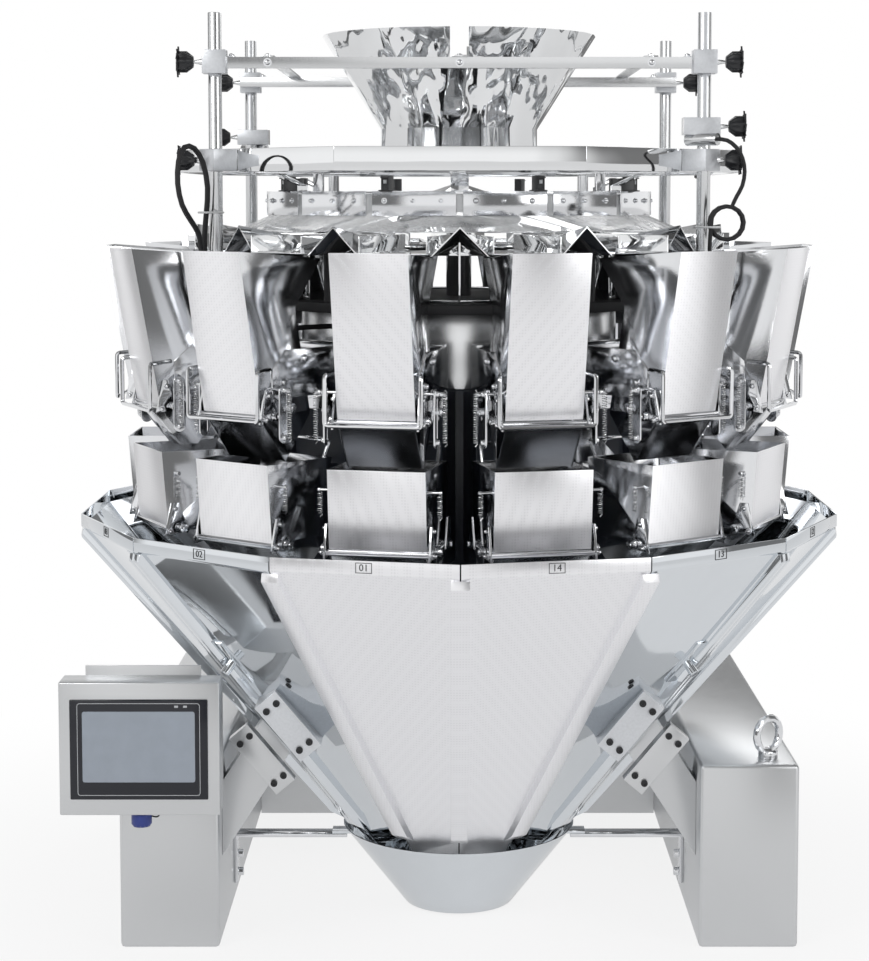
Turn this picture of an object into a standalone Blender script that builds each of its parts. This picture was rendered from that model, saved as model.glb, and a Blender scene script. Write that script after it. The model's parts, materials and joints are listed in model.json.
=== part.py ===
"""A multihead weigher for a packaging line: fourteen feed and weigh hoppers round a tower, over a chute.

The machine's axis is Z and the floor is Z = 0. The operator stands at -Y and looks along +Y.
A head's angle is counted from the front, positive towards +X. Head 1 is just left of the front seam.
Lengths are in metres.
"""

import math

import bmesh
import bpy
from mathutils import Matrix, Vector

# Layout of the heads
HEADS = 14
HEAD_ANGLE = 2 * math.pi / HEADS
HALF_ANGLE = HEAD_ANGLE / 2
WORKING_HEADS = (0, HEADS - 1)

# Fits
SEAT = 0.0003
LAP = 0.001
SHEET = 0.002

# Base: two side boxes joined by a rear box
BASE_HEIGHT = 0.284
BASE_INNER_X = 0.365
BASE_BOX_WIDTH = 0.151
BASE_FRONT_Y = -0.235
BASE_REAR_Y = 0.585
REAR_BOX_DEPTH = 0.098
BASE_EDGE = 0.006
EYEBOLT_X = 0.474
EYEBOLT_Y = -0.190
EYEBOLT_RING = 0.0255
EYEBOLT_WIRE = 0.006
EYEBOLT_COLLAR = 0.015
EYEBOLT_COLLAR_HEIGHT = 0.010
EYEBOLT_TURN = math.radians(40)

# Legs that lean inwards from the side boxes to the tower
LEG_TOP_X = 0.1475
LEG_LOW_Z = 0.129
LEG_HIGH_Z = 0.245
LEG_INNER_Y = 0.126
LEG_DEPTH = 0.060
LEG_CLEARANCE = 0.003

# Aluminium blocks on the front of the legs and on the chute above them, on which the chute docks
DOCK_Z = 0.285
DOCK_LENGTH = 0.112
DOCK_WIDTH = 0.037
DOCK_THICK = 0.022
DOCK_TILT = math.radians(50)
SADDLE_SEAM = 0.0466
SADDLE_Z = 0.363
SADDLE_LENGTH = 0.105
SADDLE_WIDTH = 0.040
SADDLE_RISE = 0.0137
LATCH_LOW_Z = 0.425
LATCH_HIGH_Z = 0.490
LATCH_SEAM = 0.014
LATCH_WIDTH = 0.018
LATCH_THICK = 0.004
LATCH_KNOB_R = 0.007
LATCH_KNOB_LENGTH = 0.026

# Tower
TOWER_APOTHEM = 0.245
TOWER_BOTTOM_Z = 0.580
TOWER_TOP_Z = 0.855
DRUM_RADIUS = 0.250
DRUM_TOP_Z = 0.970
DECK_RADIUS = 0.320
DECK_THICK = 0.015
BOOT_RADIUS = 0.022
BOOT_CENTRE_R = 0.290

# Feed hopper, in the plane through a head's middle
FEED_TOP_OUTER_R = 0.558
FEED_TOP_OUTER_Z = 1.066
FEED_TOP_INNER_R = 0.390
FEED_TOP_INNER_Z = 1.054
FEED_WAIST_R = 0.445
FEED_WAIST_Z = 0.985
FEED_BOTTOM_Z = 0.836
FEED_OUTER_R = 0.517
FEED_THROAT = 0.102
FEED_INNER_R = FEED_OUTER_R - FEED_THROAT
FEED_GAP = 0.0392
FEED_HALF_WIDTH = FEED_INNER_R * math.tan(HALF_ANGLE) - FEED_GAP
FEED_APEX_Z = 0.768

# Weigh hopper, in the same plane
WEIGH_TOP_Z = 0.767
WEIGH_TOP_OUTER_R = 0.520
WEIGH_TOP_INNER_R = 0.385
WEIGH_BOTTOM_Z = 0.655
WEIGH_OUTER_R = 0.511
WEIGH_INNER_R = 0.394
WEIGH_GAP = 0.0179
WEIGH_HALF_WIDTH = WEIGH_TOP_INNER_R * math.tan(HALF_ANGLE) - WEIGH_GAP
WEIGH_APEX_Z = 0.597

# Feeder pans, divider roofs and dispersion cone
PAN_FLOOR_Z = 1.060
PAN_WALL = 0.026
PAN_INNER_R = 0.215
PAN_OUTER_R = 0.425
PAN_GAP = 0.0131
PAN_INNER_HALF_WIDTH = PAN_INNER_R * math.tan(HALF_ANGLE) - PAN_GAP
PAN_CLEARANCE = 0.0035
PAN_OUTER_HALF_WIDTH = FEED_HALF_WIDTH - SHEET - PAN_CLEARANCE
PAN_RING_R = 0.222
PAN_RING_WIDTH = 0.016
PAN_RING_THICK = 0.006
ROOF_INNER_R = 0.240
ROOF_OUTER_R = 0.416
ROOF_CLEARANCE = 0.0016
ROOF_INNER_CLEARANCE = 0.0057
ROOF_HEIGHT = (ROOF_OUTER_R * math.sin(HALF_ANGLE) - PAN_OUTER_HALF_WIDTH - ROOF_CLEARANCE) / math.cos(HALF_ANGLE)
ROOF_APEX_Z = PAN_FLOOR_Z - SHEET + ROOF_HEIGHT
ROOF_INNER_GAP = ROOF_INNER_R * math.sin(HALF_ANGLE) - PAN_INNER_HALF_WIDTH
ROOF_INNER_HEIGHT = (ROOF_INNER_GAP - ROOF_INNER_CLEARANCE) / math.cos(HALF_ANGLE)
ROOF_LINE = (ROOF_HEIGHT - ROOF_INNER_HEIGHT) / (ROOF_OUTER_R - ROOF_INNER_R)
ROOF_STAND_R = 0.290
ROOF_STAND_THICK = 0.003
ROOF_RING_R = 0.252
ROOF_RING_WIDTH = 0.016
CONE_RIM_R = 0.228
CONE_RIM_Z = 1.090
CONE_APEX_Z = 1.165
CONE_STEM_R = 0.020

# Curtain of bolted plates and clear film
CURTAIN_APOTHEM = 0.300
CURTAIN_RISE = 0.090
CURTAIN_TOP_Z = PAN_FLOOR_Z + CURTAIN_RISE
CURTAIN_PLATE_HEIGHT = 0.036
CURTAIN_PLATE_GAP = 0.0055
CURTAIN_PLATE_HALF_WIDTH = CURTAIN_APOTHEM * math.tan(HALF_ANGLE) - CURTAIN_PLATE_GAP
FILM_THICK = 0.001
FILM_FLARE_R = 0.345
FILM_CLEARANCE = 0.004
FILM_BOTTOM_Z = ROOF_APEX_Z - (ROOF_OUTER_R - FILM_FLARE_R) * ROOF_LINE + FILM_CLEARANCE
CURTAIN_RING_DEPTH = 0.010
CURTAIN_RING_THICK = 0.004
RING_STEPS = 2 * HEADS
HANGER_WIDTH = 0.020
HANGER_ANGLES = [math.radians(turn) for turn in (45, 135, 225, 315)]

# Octagonal guard ring
GUARD_SIDES = 8
GUARD_APOTHEM = 0.425
GUARD_RISE = 0.028
GUARD_BOTTOM_Z = CURTAIN_TOP_Z + GUARD_RISE
GUARD_HEIGHT = 0.034
GUARD_THICK = 0.003

# Posts, crossbars and funnel
POST_R = 0.455
POST_ANGLE = 2 * HEAD_ANGLE
POST_RADIUS = 0.010
POST_TOP_Z = 1.408
POST_FOOT_Z = 0.872
POST_FOOT_THICK = 0.014
POST_FOOT_HALF_WIDTH = 0.012
BAR_Z = 1.337
BAR_SIZE = 0.016
CLAMP_SIZE = 0.034
KNOB_RADIUS = 0.016
KNOB_LENGTH = 0.022
KNOB_STUD_R = 0.005
KNOB_STUD_LENGTH = 0.014
SENSOR_BLOCK_X = 0.3515
SENSOR_BLOCK_Z = 1.244
SENSOR_BLOCK_SIZE = (0.053, CLAMP_SIZE, 0.025)
SENSOR_RADIUS = 0.009
SENSOR_LENGTH = 0.052
SENSOR_FORWARD = 0.018
FUNNEL_RIM_R = 0.216
FUNNEL_RIM_Z = 1.394
FUNNEL_NECK_R = 0.124
FUNNEL_NECK_Z = 1.248
FUNNEL_END_Z = 1.212
FUNNEL_NOTCH_WIDTH = 0.028
FUNNEL_NOTCH_DEPTH = 0.045
FUNNEL_STRAP_WIDTH = 0.022
SIDE_BAR_X = 0.280
SIDE_BAR_WIDTH = 0.020

# Gates of both hoppers
HINGE_RADIUS = 0.0045
HINGE_DROP = 0.005
HINGE_REACH = 0.010
LEVER_THICK = 0.003
LEVER_RISE = 0.040
LEVER_LEAN = 0.015
LEVER_BACK = 0.030
LEVER_TOE = 0.008
LEVER_TIP = 0.012
HINGE_SIDES = 6

# Drive unit of a head
DRIVE_GAP = 0.0059
DRIVE_HALF_WIDTH = TOWER_APOTHEM * math.tan(HALF_ANGLE) - DRIVE_GAP
DRIVE_FACE_R = 0.330
DRIVE_BOTTOM_Z = 0.600
DRIVE_TOP_Z = 0.862
YOKE_TOP_Z = 0.930
YOKE_BOTTOM_Z = 0.832
YOKE_BACK_R = 0.327
YOKE_FRONT_R = 0.360
CHEEK_THICK = 0.003
CHEEK_FRONT_R = 0.495
HOOK_HALF_WIDTH = 0.040
HOOK_BOTTOM_Z = 0.710
HOOK_TOP_Z = 0.752

# Discharge chute
RIM_APOTHEM = 0.585
RIM_TOP_Z = 0.653
RIM_LIP = 0.019
CHUTE_BOTTOM_APOTHEM = 0.160
CHUTE_BOTTOM_Z = 0.120
LIP_SEAM_GAP = 0.001
STRIP_HEIGHT = 0.010
STRIP_HALF_WIDTH = 0.013
STRIP_TAPER = 0.012
STRIP_BOTTOM_Z = 0.150
GROUP_GAP = SEAT
GROUP_TRIM = 0.010

# Lower cone and its arms
OUTLET_CONE_RIM_R = 0.187
OUTLET_CONE_RIM_Z = 0.131
OUTLET_CONE_END_R = 0.088
OUTLET_CONE_END_Z = 0.004
LUG_Z = 0.112
LUG_REACH = 0.205
ARM_WIDTH = 0.030
ARM_THICK = 0.006
ARM_DROP_Z = 0.030

# Leads, as centre lines from the drum's glands and from the right sensor
LEFT_LEAD_DIAMETER = 0.008
RIGHT_LEAD_DIAMETER = 0.006
LEAD_IN = [
    (0.3745, -0.2820, 1.000), (0.3690, -0.2690, 0.955), (0.3500, -0.2560, 0.922), (0.3150, -0.2370, 0.905),
    (0.2700, -0.2080, 0.903), (0.2300, -0.1805, 0.903), (0.1958, -0.1561, 0.903),
]
LEFT_LEAD = [
    (-0.1958, -0.1561, 0.945), (-0.2345, -0.1875, 0.945), (-0.2850, -0.2225, 0.943), (-0.3270, -0.2450, 0.948),
    (-0.3530, -0.2590, 0.968), (-0.3670, -0.2690, 1.000), (-0.3720, -0.2770, 1.040), (-0.3725, -0.2880, 1.080),
    (-0.3680, -0.2985, 1.120), (-0.3650, -0.3080, 1.155), (-0.3700, -0.3180, 1.190), (-0.3810, -0.3320, 1.211),
    (-0.3930, -0.3480, 1.212), (-0.4000, -0.3610, 1.192), (-0.4010, -0.3650, 1.160), (-0.3960, -0.3570, 1.130),
    (-0.3860, -0.3400, 1.108), (-0.3780, -0.3190, 1.090), (-0.3760, -0.3010, 1.068), (-0.3770, -0.2900, 1.036),
]
RIGHT_LEAD = [
    (0.3722, -0.3182, 1.2245), (0.3840, -0.3275, 1.2225), (0.3965, -0.3300, 1.213), (0.4070, -0.3240, 1.197),
    (0.4115, -0.3150, 1.178), (0.4090, -0.3105, 1.158), (0.4010, -0.3090, 1.142),
]
COIL_CENTRE = (0.3855, -0.3090, 1.1040)
COIL_RADIUS = 0.024
COIL_START = math.radians(70)
COIL_TURNS = 3.25
COIL_STEPS = 16
COIL_PITCH = 0.0068
RIGHT_LEAD_DOWN = [(0.3605, -0.3300, 1.080), (0.3620, -0.3190, 1.055), (0.3690, -0.3030, 1.028)]
LEAD_SIDES = 8

# Operator panel
PANEL_X = -0.4645
PANEL_Z = 0.3436
PANEL_WIDTH = 0.233
PANEL_HEIGHT = 0.196
PANEL_FRONT_Y = -0.370
PANEL_DEPTH = 0.050
BEZEL_WIDTH = 0.200
BEZEL_HEIGHT = 0.147
BEZEL_THICK = 0.005
HOOD_WIDTH = 0.170
HOOD_TOP_Z = 0.456
SOCKET_RADIUS = 0.013
SOCKET_LENGTH = 0.022
SOCKET_X = -0.465

PARTS = bpy.data.collections.new("multihead_weigher")


def clear_scene():
    for obj in list(bpy.data.objects):
        bpy.data.objects.remove(obj)
    bpy.context.scene.collection.children.link(PARTS)


def painted(name, colour, metallic, roughness):
    material = bpy.data.materials.new(name)
    material.use_nodes = True
    shader = material.node_tree.nodes["Principled BSDF"]
    shader.inputs["Base Color"].default_value = (*colour, 1)
    shader.inputs["Metallic"].default_value = metallic
    shader.inputs["Roughness"].default_value = roughness
    material.diffuse_color = (*colour, 1)
    return material


def polar(angle, radius, z, side=0.0):
    """The point at this radius in the direction of a head's angle, moved sideways to its right."""
    return Vector(
        (
            radius * math.sin(angle) + side * math.cos(angle),
            -radius * math.cos(angle) + side * math.sin(angle),
            z,
        )
    )


def object_of(bm):
    """A new object from the bmesh, closed and facing out."""
    bmesh.ops.remove_doubles(bm, verts=bm.verts, dist=0.00001)
    bmesh.ops.recalc_face_normals(bm, faces=bm.faces)
    mesh = bpy.data.meshes.new("shape")
    bm.to_mesh(mesh)
    bm.free()
    obj = bpy.data.objects.new("shape", mesh)
    PARTS.objects.link(obj)
    return obj


def block(low, high):
    """A box between two corners."""
    low, high = Vector(low), Vector(high)
    bm = bmesh.new()
    place = Matrix.LocRotScale((low + high) / 2, None, high - low)
    bmesh.ops.create_cube(bm, size=1, matrix=place)
    return object_of(bm)


def prism(outline, push):
    """A flat outline pushed along a vector."""
    bm = bmesh.new()
    face = bm.faces.new([bm.verts.new(point) for point in outline])
    made = bmesh.ops.extrude_face_region(bm, geom=[face])["geom"]
    moved = [item for item in made if isinstance(item, bmesh.types.BMVert)]
    bmesh.ops.translate(bm, verts=moved, vec=push)
    return object_of(bm)


def loft(*sections):
    """A closed body through outlines that have the same number of points."""
    bm = bmesh.new()
    rings = [[bm.verts.new(point) for point in section] for section in sections]
    bm.faces.new(rings[0])
    bm.faces.new(rings[-1])
    for low, high in zip(rings, rings[1:]):
        for i in range(len(low)):
            j = (i + 1) % len(low)
            bm.faces.new((low[i], low[j], high[j], high[i]))
    return object_of(bm)


def rod(start, end, radius, sides=16, end_radius=None):
    """A round bar, or a tapered one, from one point to another."""
    start, end = Vector(start), Vector(end)
    along = end - start
    turn = along.to_track_quat("Z", "Y").to_matrix().to_4x4()
    bm = bmesh.new()
    bmesh.ops.create_cone(
        bm,
        cap_ends=True,
        segments=sides,
        radius1=radius,
        radius2=radius if end_radius is None else end_radius,
        depth=along.length,
        matrix=Matrix.Translation((start + end) / 2) @ turn,
    )
    return object_of(bm)


def turned(profile, steps, phase=0.0):
    """A closed profile of (radius, height) points turned about Z."""
    bm = bmesh.new()
    points = [bm.verts.new((radius, 0, z)) for radius, z in profile]
    for i in range(len(points)):
        bm.edges.new((points[i], points[(i + 1) % len(points)]))
    mesh = bpy.data.meshes.new("profile")
    bm.to_mesh(mesh)
    bm.free()
    obj = bpy.data.objects.new("profile", mesh)
    PARTS.objects.link(obj)
    screw = obj.modifiers.new("turn", "SCREW")
    screw.steps = steps
    screw.render_steps = steps
    screw.use_merge_vertices = True
    screw.merge_threshold = 0.00001
    bake(obj)
    bm = bmesh.new()
    bm.from_mesh(obj.data)
    bpy.data.objects.remove(obj)
    bmesh.ops.rotate(bm, verts=bm.verts, matrix=Matrix.Rotation(phase, 3, "Z"))
    bmesh.ops.dissolve_degenerate(bm, edges=bm.edges, dist=0.00001)
    return object_of(bm)


def bake(obj):
    """Turns the object's modifiers into plain mesh."""
    graph = bpy.context.evaluated_depsgraph_get()
    mesh = bpy.data.meshes.new_from_object(obj.evaluated_get(graph))
    obj.modifiers.clear()
    obj.data = mesh


def combine(first, others, operation):
    for other in others:
        step = first.modifiers.new(operation.lower(), "BOOLEAN")
        step.operation = operation
        step.solver = "EXACT"
        step.object = other
    bake(first)
    for other in others:
        bpy.data.objects.remove(other)
    return first


def joined(first, *others):
    return combine(first, others, "UNION")


def cut(first, *others):
    return combine(first, others, "DIFFERENCE")


def copy_of(obj, angle=0.0):
    """A separate copy, turned about the machine's axis."""
    bm = bmesh.new()
    bm.from_mesh(obj.data)
    bmesh.ops.rotate(bm, verts=bm.verts, matrix=Matrix.Rotation(angle, 3, "Z"))
    return object_of(bm)


def named(obj, name, material, smooth=False):
    """The finished piece: its name, its material and its shading."""
    obj.name = name
    obj.data.name = name
    obj.data.materials.clear()
    obj.data.materials.append(material)
    if smooth:
        obj.data.shade_smooth()
        obj.data.set_sharp_from_angle(angle=math.radians(35))
    return obj


def softened(obj, width):
    """Rounds all edges of a box."""
    step = obj.modifiers.new("edges", "BEVEL")
    step.width = width
    step.segments = 2
    bake(obj)
    return obj


def across(points, half):
    """A prism from (radius, height) points in a head's middle plane, this far to both sides."""
    return prism([(-half, -radius, z) for radius, z in points], (2 * half, 0, 0))


def side_plate(points, inner, outer):
    """The same outline as a plate on a head's right side, from one side distance to another."""
    return prism([(inner, -radius, z) for radius, z in points], (outer - inner, 0, 0))


def both_sides(points, inner, outer):
    return [side_plate(points, inner, outer), side_plate(points, -outer, -inner)]


def base():
    outer = BASE_INNER_X + BASE_BOX_WIDTH
    for side, name in ((-1, "left"), (1, "right")):
        xs = sorted((side * BASE_INNER_X, side * outer))
        box = block((xs[0], BASE_FRONT_Y, 0), (xs[1], BASE_REAR_Y, BASE_HEIGHT))
        named(softened(box, BASE_EDGE), f"base_box_{name}", STEEL)
        named(eyebolt(side * EYEBOLT_X), f"eyebolt_{name}", BRIGHT, True)
    rear_front = BASE_REAR_Y - REAR_BOX_DEPTH
    inner = BASE_INNER_X - SEAT
    rear = block((-inner, rear_front, 0), (inner, BASE_REAR_Y, BASE_HEIGHT))
    named(rear, "base_box_rear", STEEL)


def eyebolt(x):
    """A lifting eye that stands on a side box."""
    foot = BASE_HEIGHT + SEAT
    centre = foot + EYEBOLT_COLLAR_HEIGHT + EYEBOLT_RING
    collar = rod((x, EYEBOLT_Y, foot), (x, EYEBOLT_Y, foot + EYEBOLT_COLLAR_HEIGHT), EYEBOLT_COLLAR)
    bm = bmesh.new()
    sides = 8
    around = 20
    for i in range(sides):
        turn = 2 * math.pi * i / sides
        bm.verts.new((EYEBOLT_RING + EYEBOLT_WIRE * math.cos(turn), 0, EYEBOLT_WIRE * math.sin(turn)))
    bm.verts.ensure_lookup_table()
    for i in range(sides):
        bm.edges.new((bm.verts[i], bm.verts[(i + 1) % sides]))
    bmesh.ops.spin(
        bm, geom=bm.verts[:] + bm.edges[:], axis=(0, 0, 1), cent=(0, 0, 0),
        angle=2 * math.pi, steps=around, use_merge=True,
    )
    upright = Matrix.Rotation(EYEBOLT_TURN, 4, "Z") @ Matrix.Rotation(math.pi / 2, 4, "X")
    bmesh.ops.transform(bm, verts=bm.verts, matrix=Matrix.Translation((x, EYEBOLT_Y, centre)) @ upright)
    return joined(object_of(bm), collar)


def leg_lean():
    """How far a leg leans inwards for each metre up."""
    return (BASE_INNER_X - LEG_TOP_X) / (TOWER_BOTTOM_Z - LEG_HIGH_Z)


def leg_outline(spread=0.0):
    """A leg's side view in X and Z, from the side box up to under the tower."""
    wall = BASE_INNER_X - SEAT + spread
    top = TOWER_BOTTOM_Z - SEAT + spread
    lean = leg_lean()
    grow = spread * math.hypot(1, lean) / lean
    low, high = LEG_LOW_Z - grow, LEG_HIGH_Z + grow
    return [
        (wall, low),
        (wall, high),
        (wall - (top - high) * lean, top),
        (wall - (top - low) * lean, top),
    ]


def leg(side_x, side_y, spread=0.0):
    near = side_y * (LEG_INNER_Y - spread)
    push = side_y * (LEG_DEPTH + 2 * spread)
    outline = [(side_x * x, near, z) for x, z in leg_outline(spread)]
    return prism(outline, (0, push, 0))


def tilted(side_x, centre_x, centre_z, length, width):
    """The corners of a docking block's face in X and Z."""
    along = Vector((math.cos(DOCK_TILT), math.sin(DOCK_TILT)))
    over = Vector((-along.y, along.x))
    centre = Vector((centre_x, centre_z))
    corners = []
    for way, lift in ((-1, -1), (1, -1), (1, 1), (-1, 1)):
        corner = centre + along * way * length / 2 + over * lift * width / 2
        corners.append((side_x * corner.x, corner.y))
    return corners


def dock(side_x, side_y, spread=0.0):
    """The aluminium block bolted across a leg's face, centred on the leg."""
    centre_x = BASE_INNER_X - (DOCK_Z - (LEG_LOW_Z + LEG_HIGH_Z) / 2) * leg_lean()
    near = side_y * (LEG_INNER_Y + LEG_DEPTH - LAP - spread)
    face = tilted(side_x, centre_x, DOCK_Z, DOCK_LENGTH + 2 * spread, DOCK_WIDTH + 2 * spread)
    return prism([(x, near, z) for x, z in face], (0, side_y * (DOCK_THICK + 2 * spread), 0))


def legs():
    for side_y, depth in ((-1, "front"), (1, "rear")):
        for side_x, side in ((-1, "left"), (1, "right")):
            named(joined(leg(side_x, side_y), dock(side_x, side_y)), f"leg_{depth}_{side}", STEEL)


def polygon_ring(sides, apothem, thick, bottom, top, phase):
    """A flat-sided band round the axis."""
    outer = apothem / math.cos(math.pi / sides)
    inner = (apothem - thick) / math.cos(math.pi / sides)
    return turned([(outer, top), (outer, bottom), (inner, bottom), (inner, top)], sides, phase)


def tower():
    radius = TOWER_APOTHEM / math.cos(HALF_ANGLE)
    profile = [(0, TOWER_TOP_Z), (radius, TOWER_TOP_Z), (radius, TOWER_BOTTOM_Z), (0, TOWER_BOTTOM_Z)]
    named(turned(profile, HEADS, math.pi / 2), "tower_housing", DARK)
    drum_foot = TOWER_TOP_Z + SEAT
    profile = [(0, DRUM_TOP_Z), (DRUM_RADIUS, DRUM_TOP_Z), (DRUM_RADIUS, drum_foot), (0, drum_foot)]
    named(turned(profile, 42, math.pi / 2), "tower_drum", MIRROR, True)
    deck()


def deck():
    """The plate that carries the feeders, with a rubber boot under each pan."""
    foot = DRUM_TOP_Z + SEAT
    top = foot + DECK_THICK
    profile = [(0, top), (DECK_RADIUS, top), (DECK_RADIUS, foot), (0, foot)]
    plate = turned(profile, RING_STEPS)
    boots = []
    for head in range(HEADS):
        angle = head_angle(head)
        low = polar(angle, BOOT_CENTRE_R, top - LAP)
        high = polar(angle, BOOT_CENTRE_R, PAN_FLOOR_Z - SEAT)
        boots.append(rod(low, high, BOOT_RADIUS, 10))
    named(joined(plate, *boots), "feeder_deck", DARK, True)


def head_angle(head):
    """Heads are counted from 0 here and go round to the left from the front seam."""
    return -(head + 0.5) * HEAD_ANGLE


def pan_section(radius, half):
    """The tray's U-shaped section at one radius, in a head's own frame."""
    top = PAN_FLOOR_Z + PAN_WALL
    inner = half - SHEET
    floor = PAN_FLOOR_Z + SHEET
    points = [
        (-half, PAN_FLOOR_Z), (half, PAN_FLOOR_Z), (half, top), (inner, top),
        (inner, floor), (-inner, floor), (-inner, top), (-half, top),
    ]
    return [(side, -radius, z) for side, z in points]


def pans():
    pan = loft(pan_section(PAN_INNER_R, PAN_INNER_HALF_WIDTH), pan_section(PAN_OUTER_R, PAN_OUTER_HALF_WIDTH))
    half = PAN_RING_WIDTH / 2
    low, high = PAN_FLOOR_Z - PAN_RING_THICK, PAN_FLOOR_Z + SHEET / 2
    inner, outer = PAN_RING_R - half, PAN_RING_R + half
    ring = turned([(outer, high), (outer, low), (inner, low), (inner, high)], RING_STEPS)
    copies = [copy_of(pan, head_angle(head)) for head in range(HEADS)]
    bpy.data.objects.remove(pan)
    named(joined(ring, *copies), "feeder_pans", MIRROR)


def roof_section(radius, height):
    """The inverted V between two pans, in the seam's own frame."""
    apex = ROOF_APEX_Z - (ROOF_OUTER_R - radius) * ROOF_LINE
    inner = SHEET * math.sqrt(2)
    points = [
        (-height, apex - height), (0, apex), (height, apex - height),
        (height - inner, apex - height), (0, apex - inner), (inner - height, apex - height),
    ]
    return [(side, -radius, z) for side, z in points]


def roofs():
    """The divider roofs stand on the deck, on one ring."""
    foot = DRUM_TOP_Z + SEAT + DECK_THICK + SEAT
    half = ROOF_RING_WIDTH / 2
    inner, outer = ROOF_RING_R - half, ROOF_RING_R + half
    ring = turned(
        [(outer, foot + ROOF_STAND_THICK), (outer, foot), (inner, foot), (inner, foot + ROOF_STAND_THICK)],
        RING_STEPS,
    )
    roof = loft(roof_section(ROOF_INNER_R, ROOF_INNER_HEIGHT), roof_section(ROOF_OUTER_R, ROOF_HEIGHT))
    low = foot + LAP
    apex_at_stand = ROOF_APEX_Z - (ROOF_OUTER_R - ROOF_STAND_R) * ROOF_LINE - LAP
    apex_inside = ROOF_APEX_Z - (ROOF_OUTER_R - ROOF_RING_R) * ROOF_LINE - LAP
    stand = across([(ROOF_RING_R, low), (ROOF_STAND_R, low), (ROOF_STAND_R, apex_at_stand),
                    (ROOF_RING_R, apex_inside)], ROOF_STAND_THICK / 2)
    pair = joined(roof, stand)
    copies = [copy_of(pair, head * HEAD_ANGLE) for head in range(HEADS)]
    bpy.data.objects.remove(pair)
    named(joined(ring, *copies), "divider_roofs", MIRROR)


def dispersion_cone():
    foot = DRUM_TOP_Z + SEAT + DECK_THICK + SEAT
    under = CONE_APEX_Z - 2 * SHEET - CONE_STEM_R * (CONE_APEX_Z - CONE_RIM_Z) / CONE_RIM_R
    profile = [
        (0, CONE_APEX_Z), (CONE_RIM_R, CONE_RIM_Z), (CONE_RIM_R, CONE_RIM_Z - SHEET),
        (CONE_STEM_R, under), (CONE_STEM_R, foot), (0, foot),
    ]
    named(turned(profile, 36), "dispersion_cone", MIRROR, True)


def curtain():
    """Bolted plates on a flat ring under the guard ring, with the clear film hanging behind them."""
    bottom = CURTAIN_TOP_Z - CURTAIN_PLATE_HEIGHT
    back = CURTAIN_APOTHEM - SHEET
    top = CURTAIN_TOP_Z - LAP / 2
    ring = polygon_ring(
        HEADS, CURTAIN_APOTHEM - LAP, CURTAIN_RING_DEPTH, top - CURTAIN_RING_THICK, top, math.pi / 2
    )
    pieces = [curtain_plate(head_angle(head), bottom) for head in range(HEADS)]
    pieces += [hanger(angle, top) for angle in HANGER_ANGLES]
    named(joined(ring, *pieces), "curtain_ring", BRIGHT)
    film_top = top - CURTAIN_RING_THICK - SEAT
    outer = back - SEAT
    inner = outer - FILM_THICK
    bend = bottom - SHEET
    film = flat_sided(
        [(outer, film_top), (outer, bend), (FILM_FLARE_R, FILM_BOTTOM_Z),
         (FILM_FLARE_R - FILM_THICK, FILM_BOTTOM_Z), (inner, bend), (inner, film_top)]
    )
    named(film, "curtain_film", FILM)


def flat_sided(profile):
    """A turned form with one flat side for each head, whose sizes are across the flats."""
    return turned([(radius / math.cos(HALF_ANGLE), z) for radius, z in profile], HEADS, math.pi / 2)


def curtain_plate(angle, bottom):
    corners = [(-1, bottom), (1, bottom), (1, CURTAIN_TOP_Z), (-1, CURTAIN_TOP_Z)]
    outline = [polar(angle, CURTAIN_APOTHEM, z, side * CURTAIN_PLATE_HALF_WIDTH) for side, z in corners]
    return prism(outline, polar(angle, -SHEET, 0))


def hanger(angle, ring_top):
    """A bent strap from the curtain ring up and out to under the guard ring."""
    inner = CURTAIN_APOTHEM - CURTAIN_RING_DEPTH / 2
    outer = GUARD_APOTHEM + LAP
    top = GUARD_BOTTOM_Z - SEAT
    low = ring_top - CURTAIN_RING_THICK / 2
    bar = across(
        [(inner, low), (inner + 2 * SHEET, low), (inner + 2 * SHEET, top - SHEET),
         (outer, top - SHEET), (outer, top), (inner, top)],
        HANGER_WIDTH / 2,
    )
    placed = copy_of(bar, angle)
    bpy.data.objects.remove(bar)
    return placed


def guard_ring():
    ring = polygon_ring(
        GUARD_SIDES, GUARD_APOTHEM, GUARD_THICK, GUARD_BOTTOM_Z, GUARD_BOTTOM_Z + GUARD_HEIGHT,
        math.pi / 2 + math.pi / GUARD_SIDES,
    )
    named(ring, "guard_ring", MIRROR)


def knob(start, direction):
    """A star knob on its stud."""
    start, direction = Vector(start), Vector(direction)
    head = start + direction * KNOB_STUD_LENGTH
    shank = rod(start - direction * LAP, head + direction * LAP, KNOB_STUD_R, 8)
    grip = rod(head, head + direction * KNOB_LENGTH, KNOB_RADIUS, 12, KNOB_RADIUS * 0.85)
    return [shank, grip]


def posts():
    for side_x, side in ((-1, "left"), (1, "right")):
        for front, depth in ((1, "front"), (0, "rear")):
            angle = side_x * (POST_ANGLE if front else math.pi - POST_ANGLE)
            place = polar(angle, POST_R, 0)
            bar = rod(place + Vector((0, 0, POST_FOOT_Z)), place + Vector((0, 0, POST_TOP_Z)), POST_RADIUS, 16)
            foot_in = DRUM_RADIUS + SEAT
            corners = [(-1, foot_in), (1, foot_in), (1, POST_R + POST_FOOT_HALF_WIDTH), (-1, POST_R + POST_FOOT_HALF_WIDTH)]
            outline = [polar(angle, radius, POST_FOOT_Z, way * POST_FOOT_HALF_WIDTH) for way, radius in corners]
            foot = prism(outline, (0, 0, POST_FOOT_THICK))
            pieces = [foot, guard_clamp(place, angle)]
            pieces += knob(clamp_face(place, side_x), (side_x, 0, 0))
            if side_x == (1 if front else -1):
                pieces += beam_sensor(place, side_x)
            named(joined(bar, *pieces), f"post_{depth}_{side}", BRIGHT, True)


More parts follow.
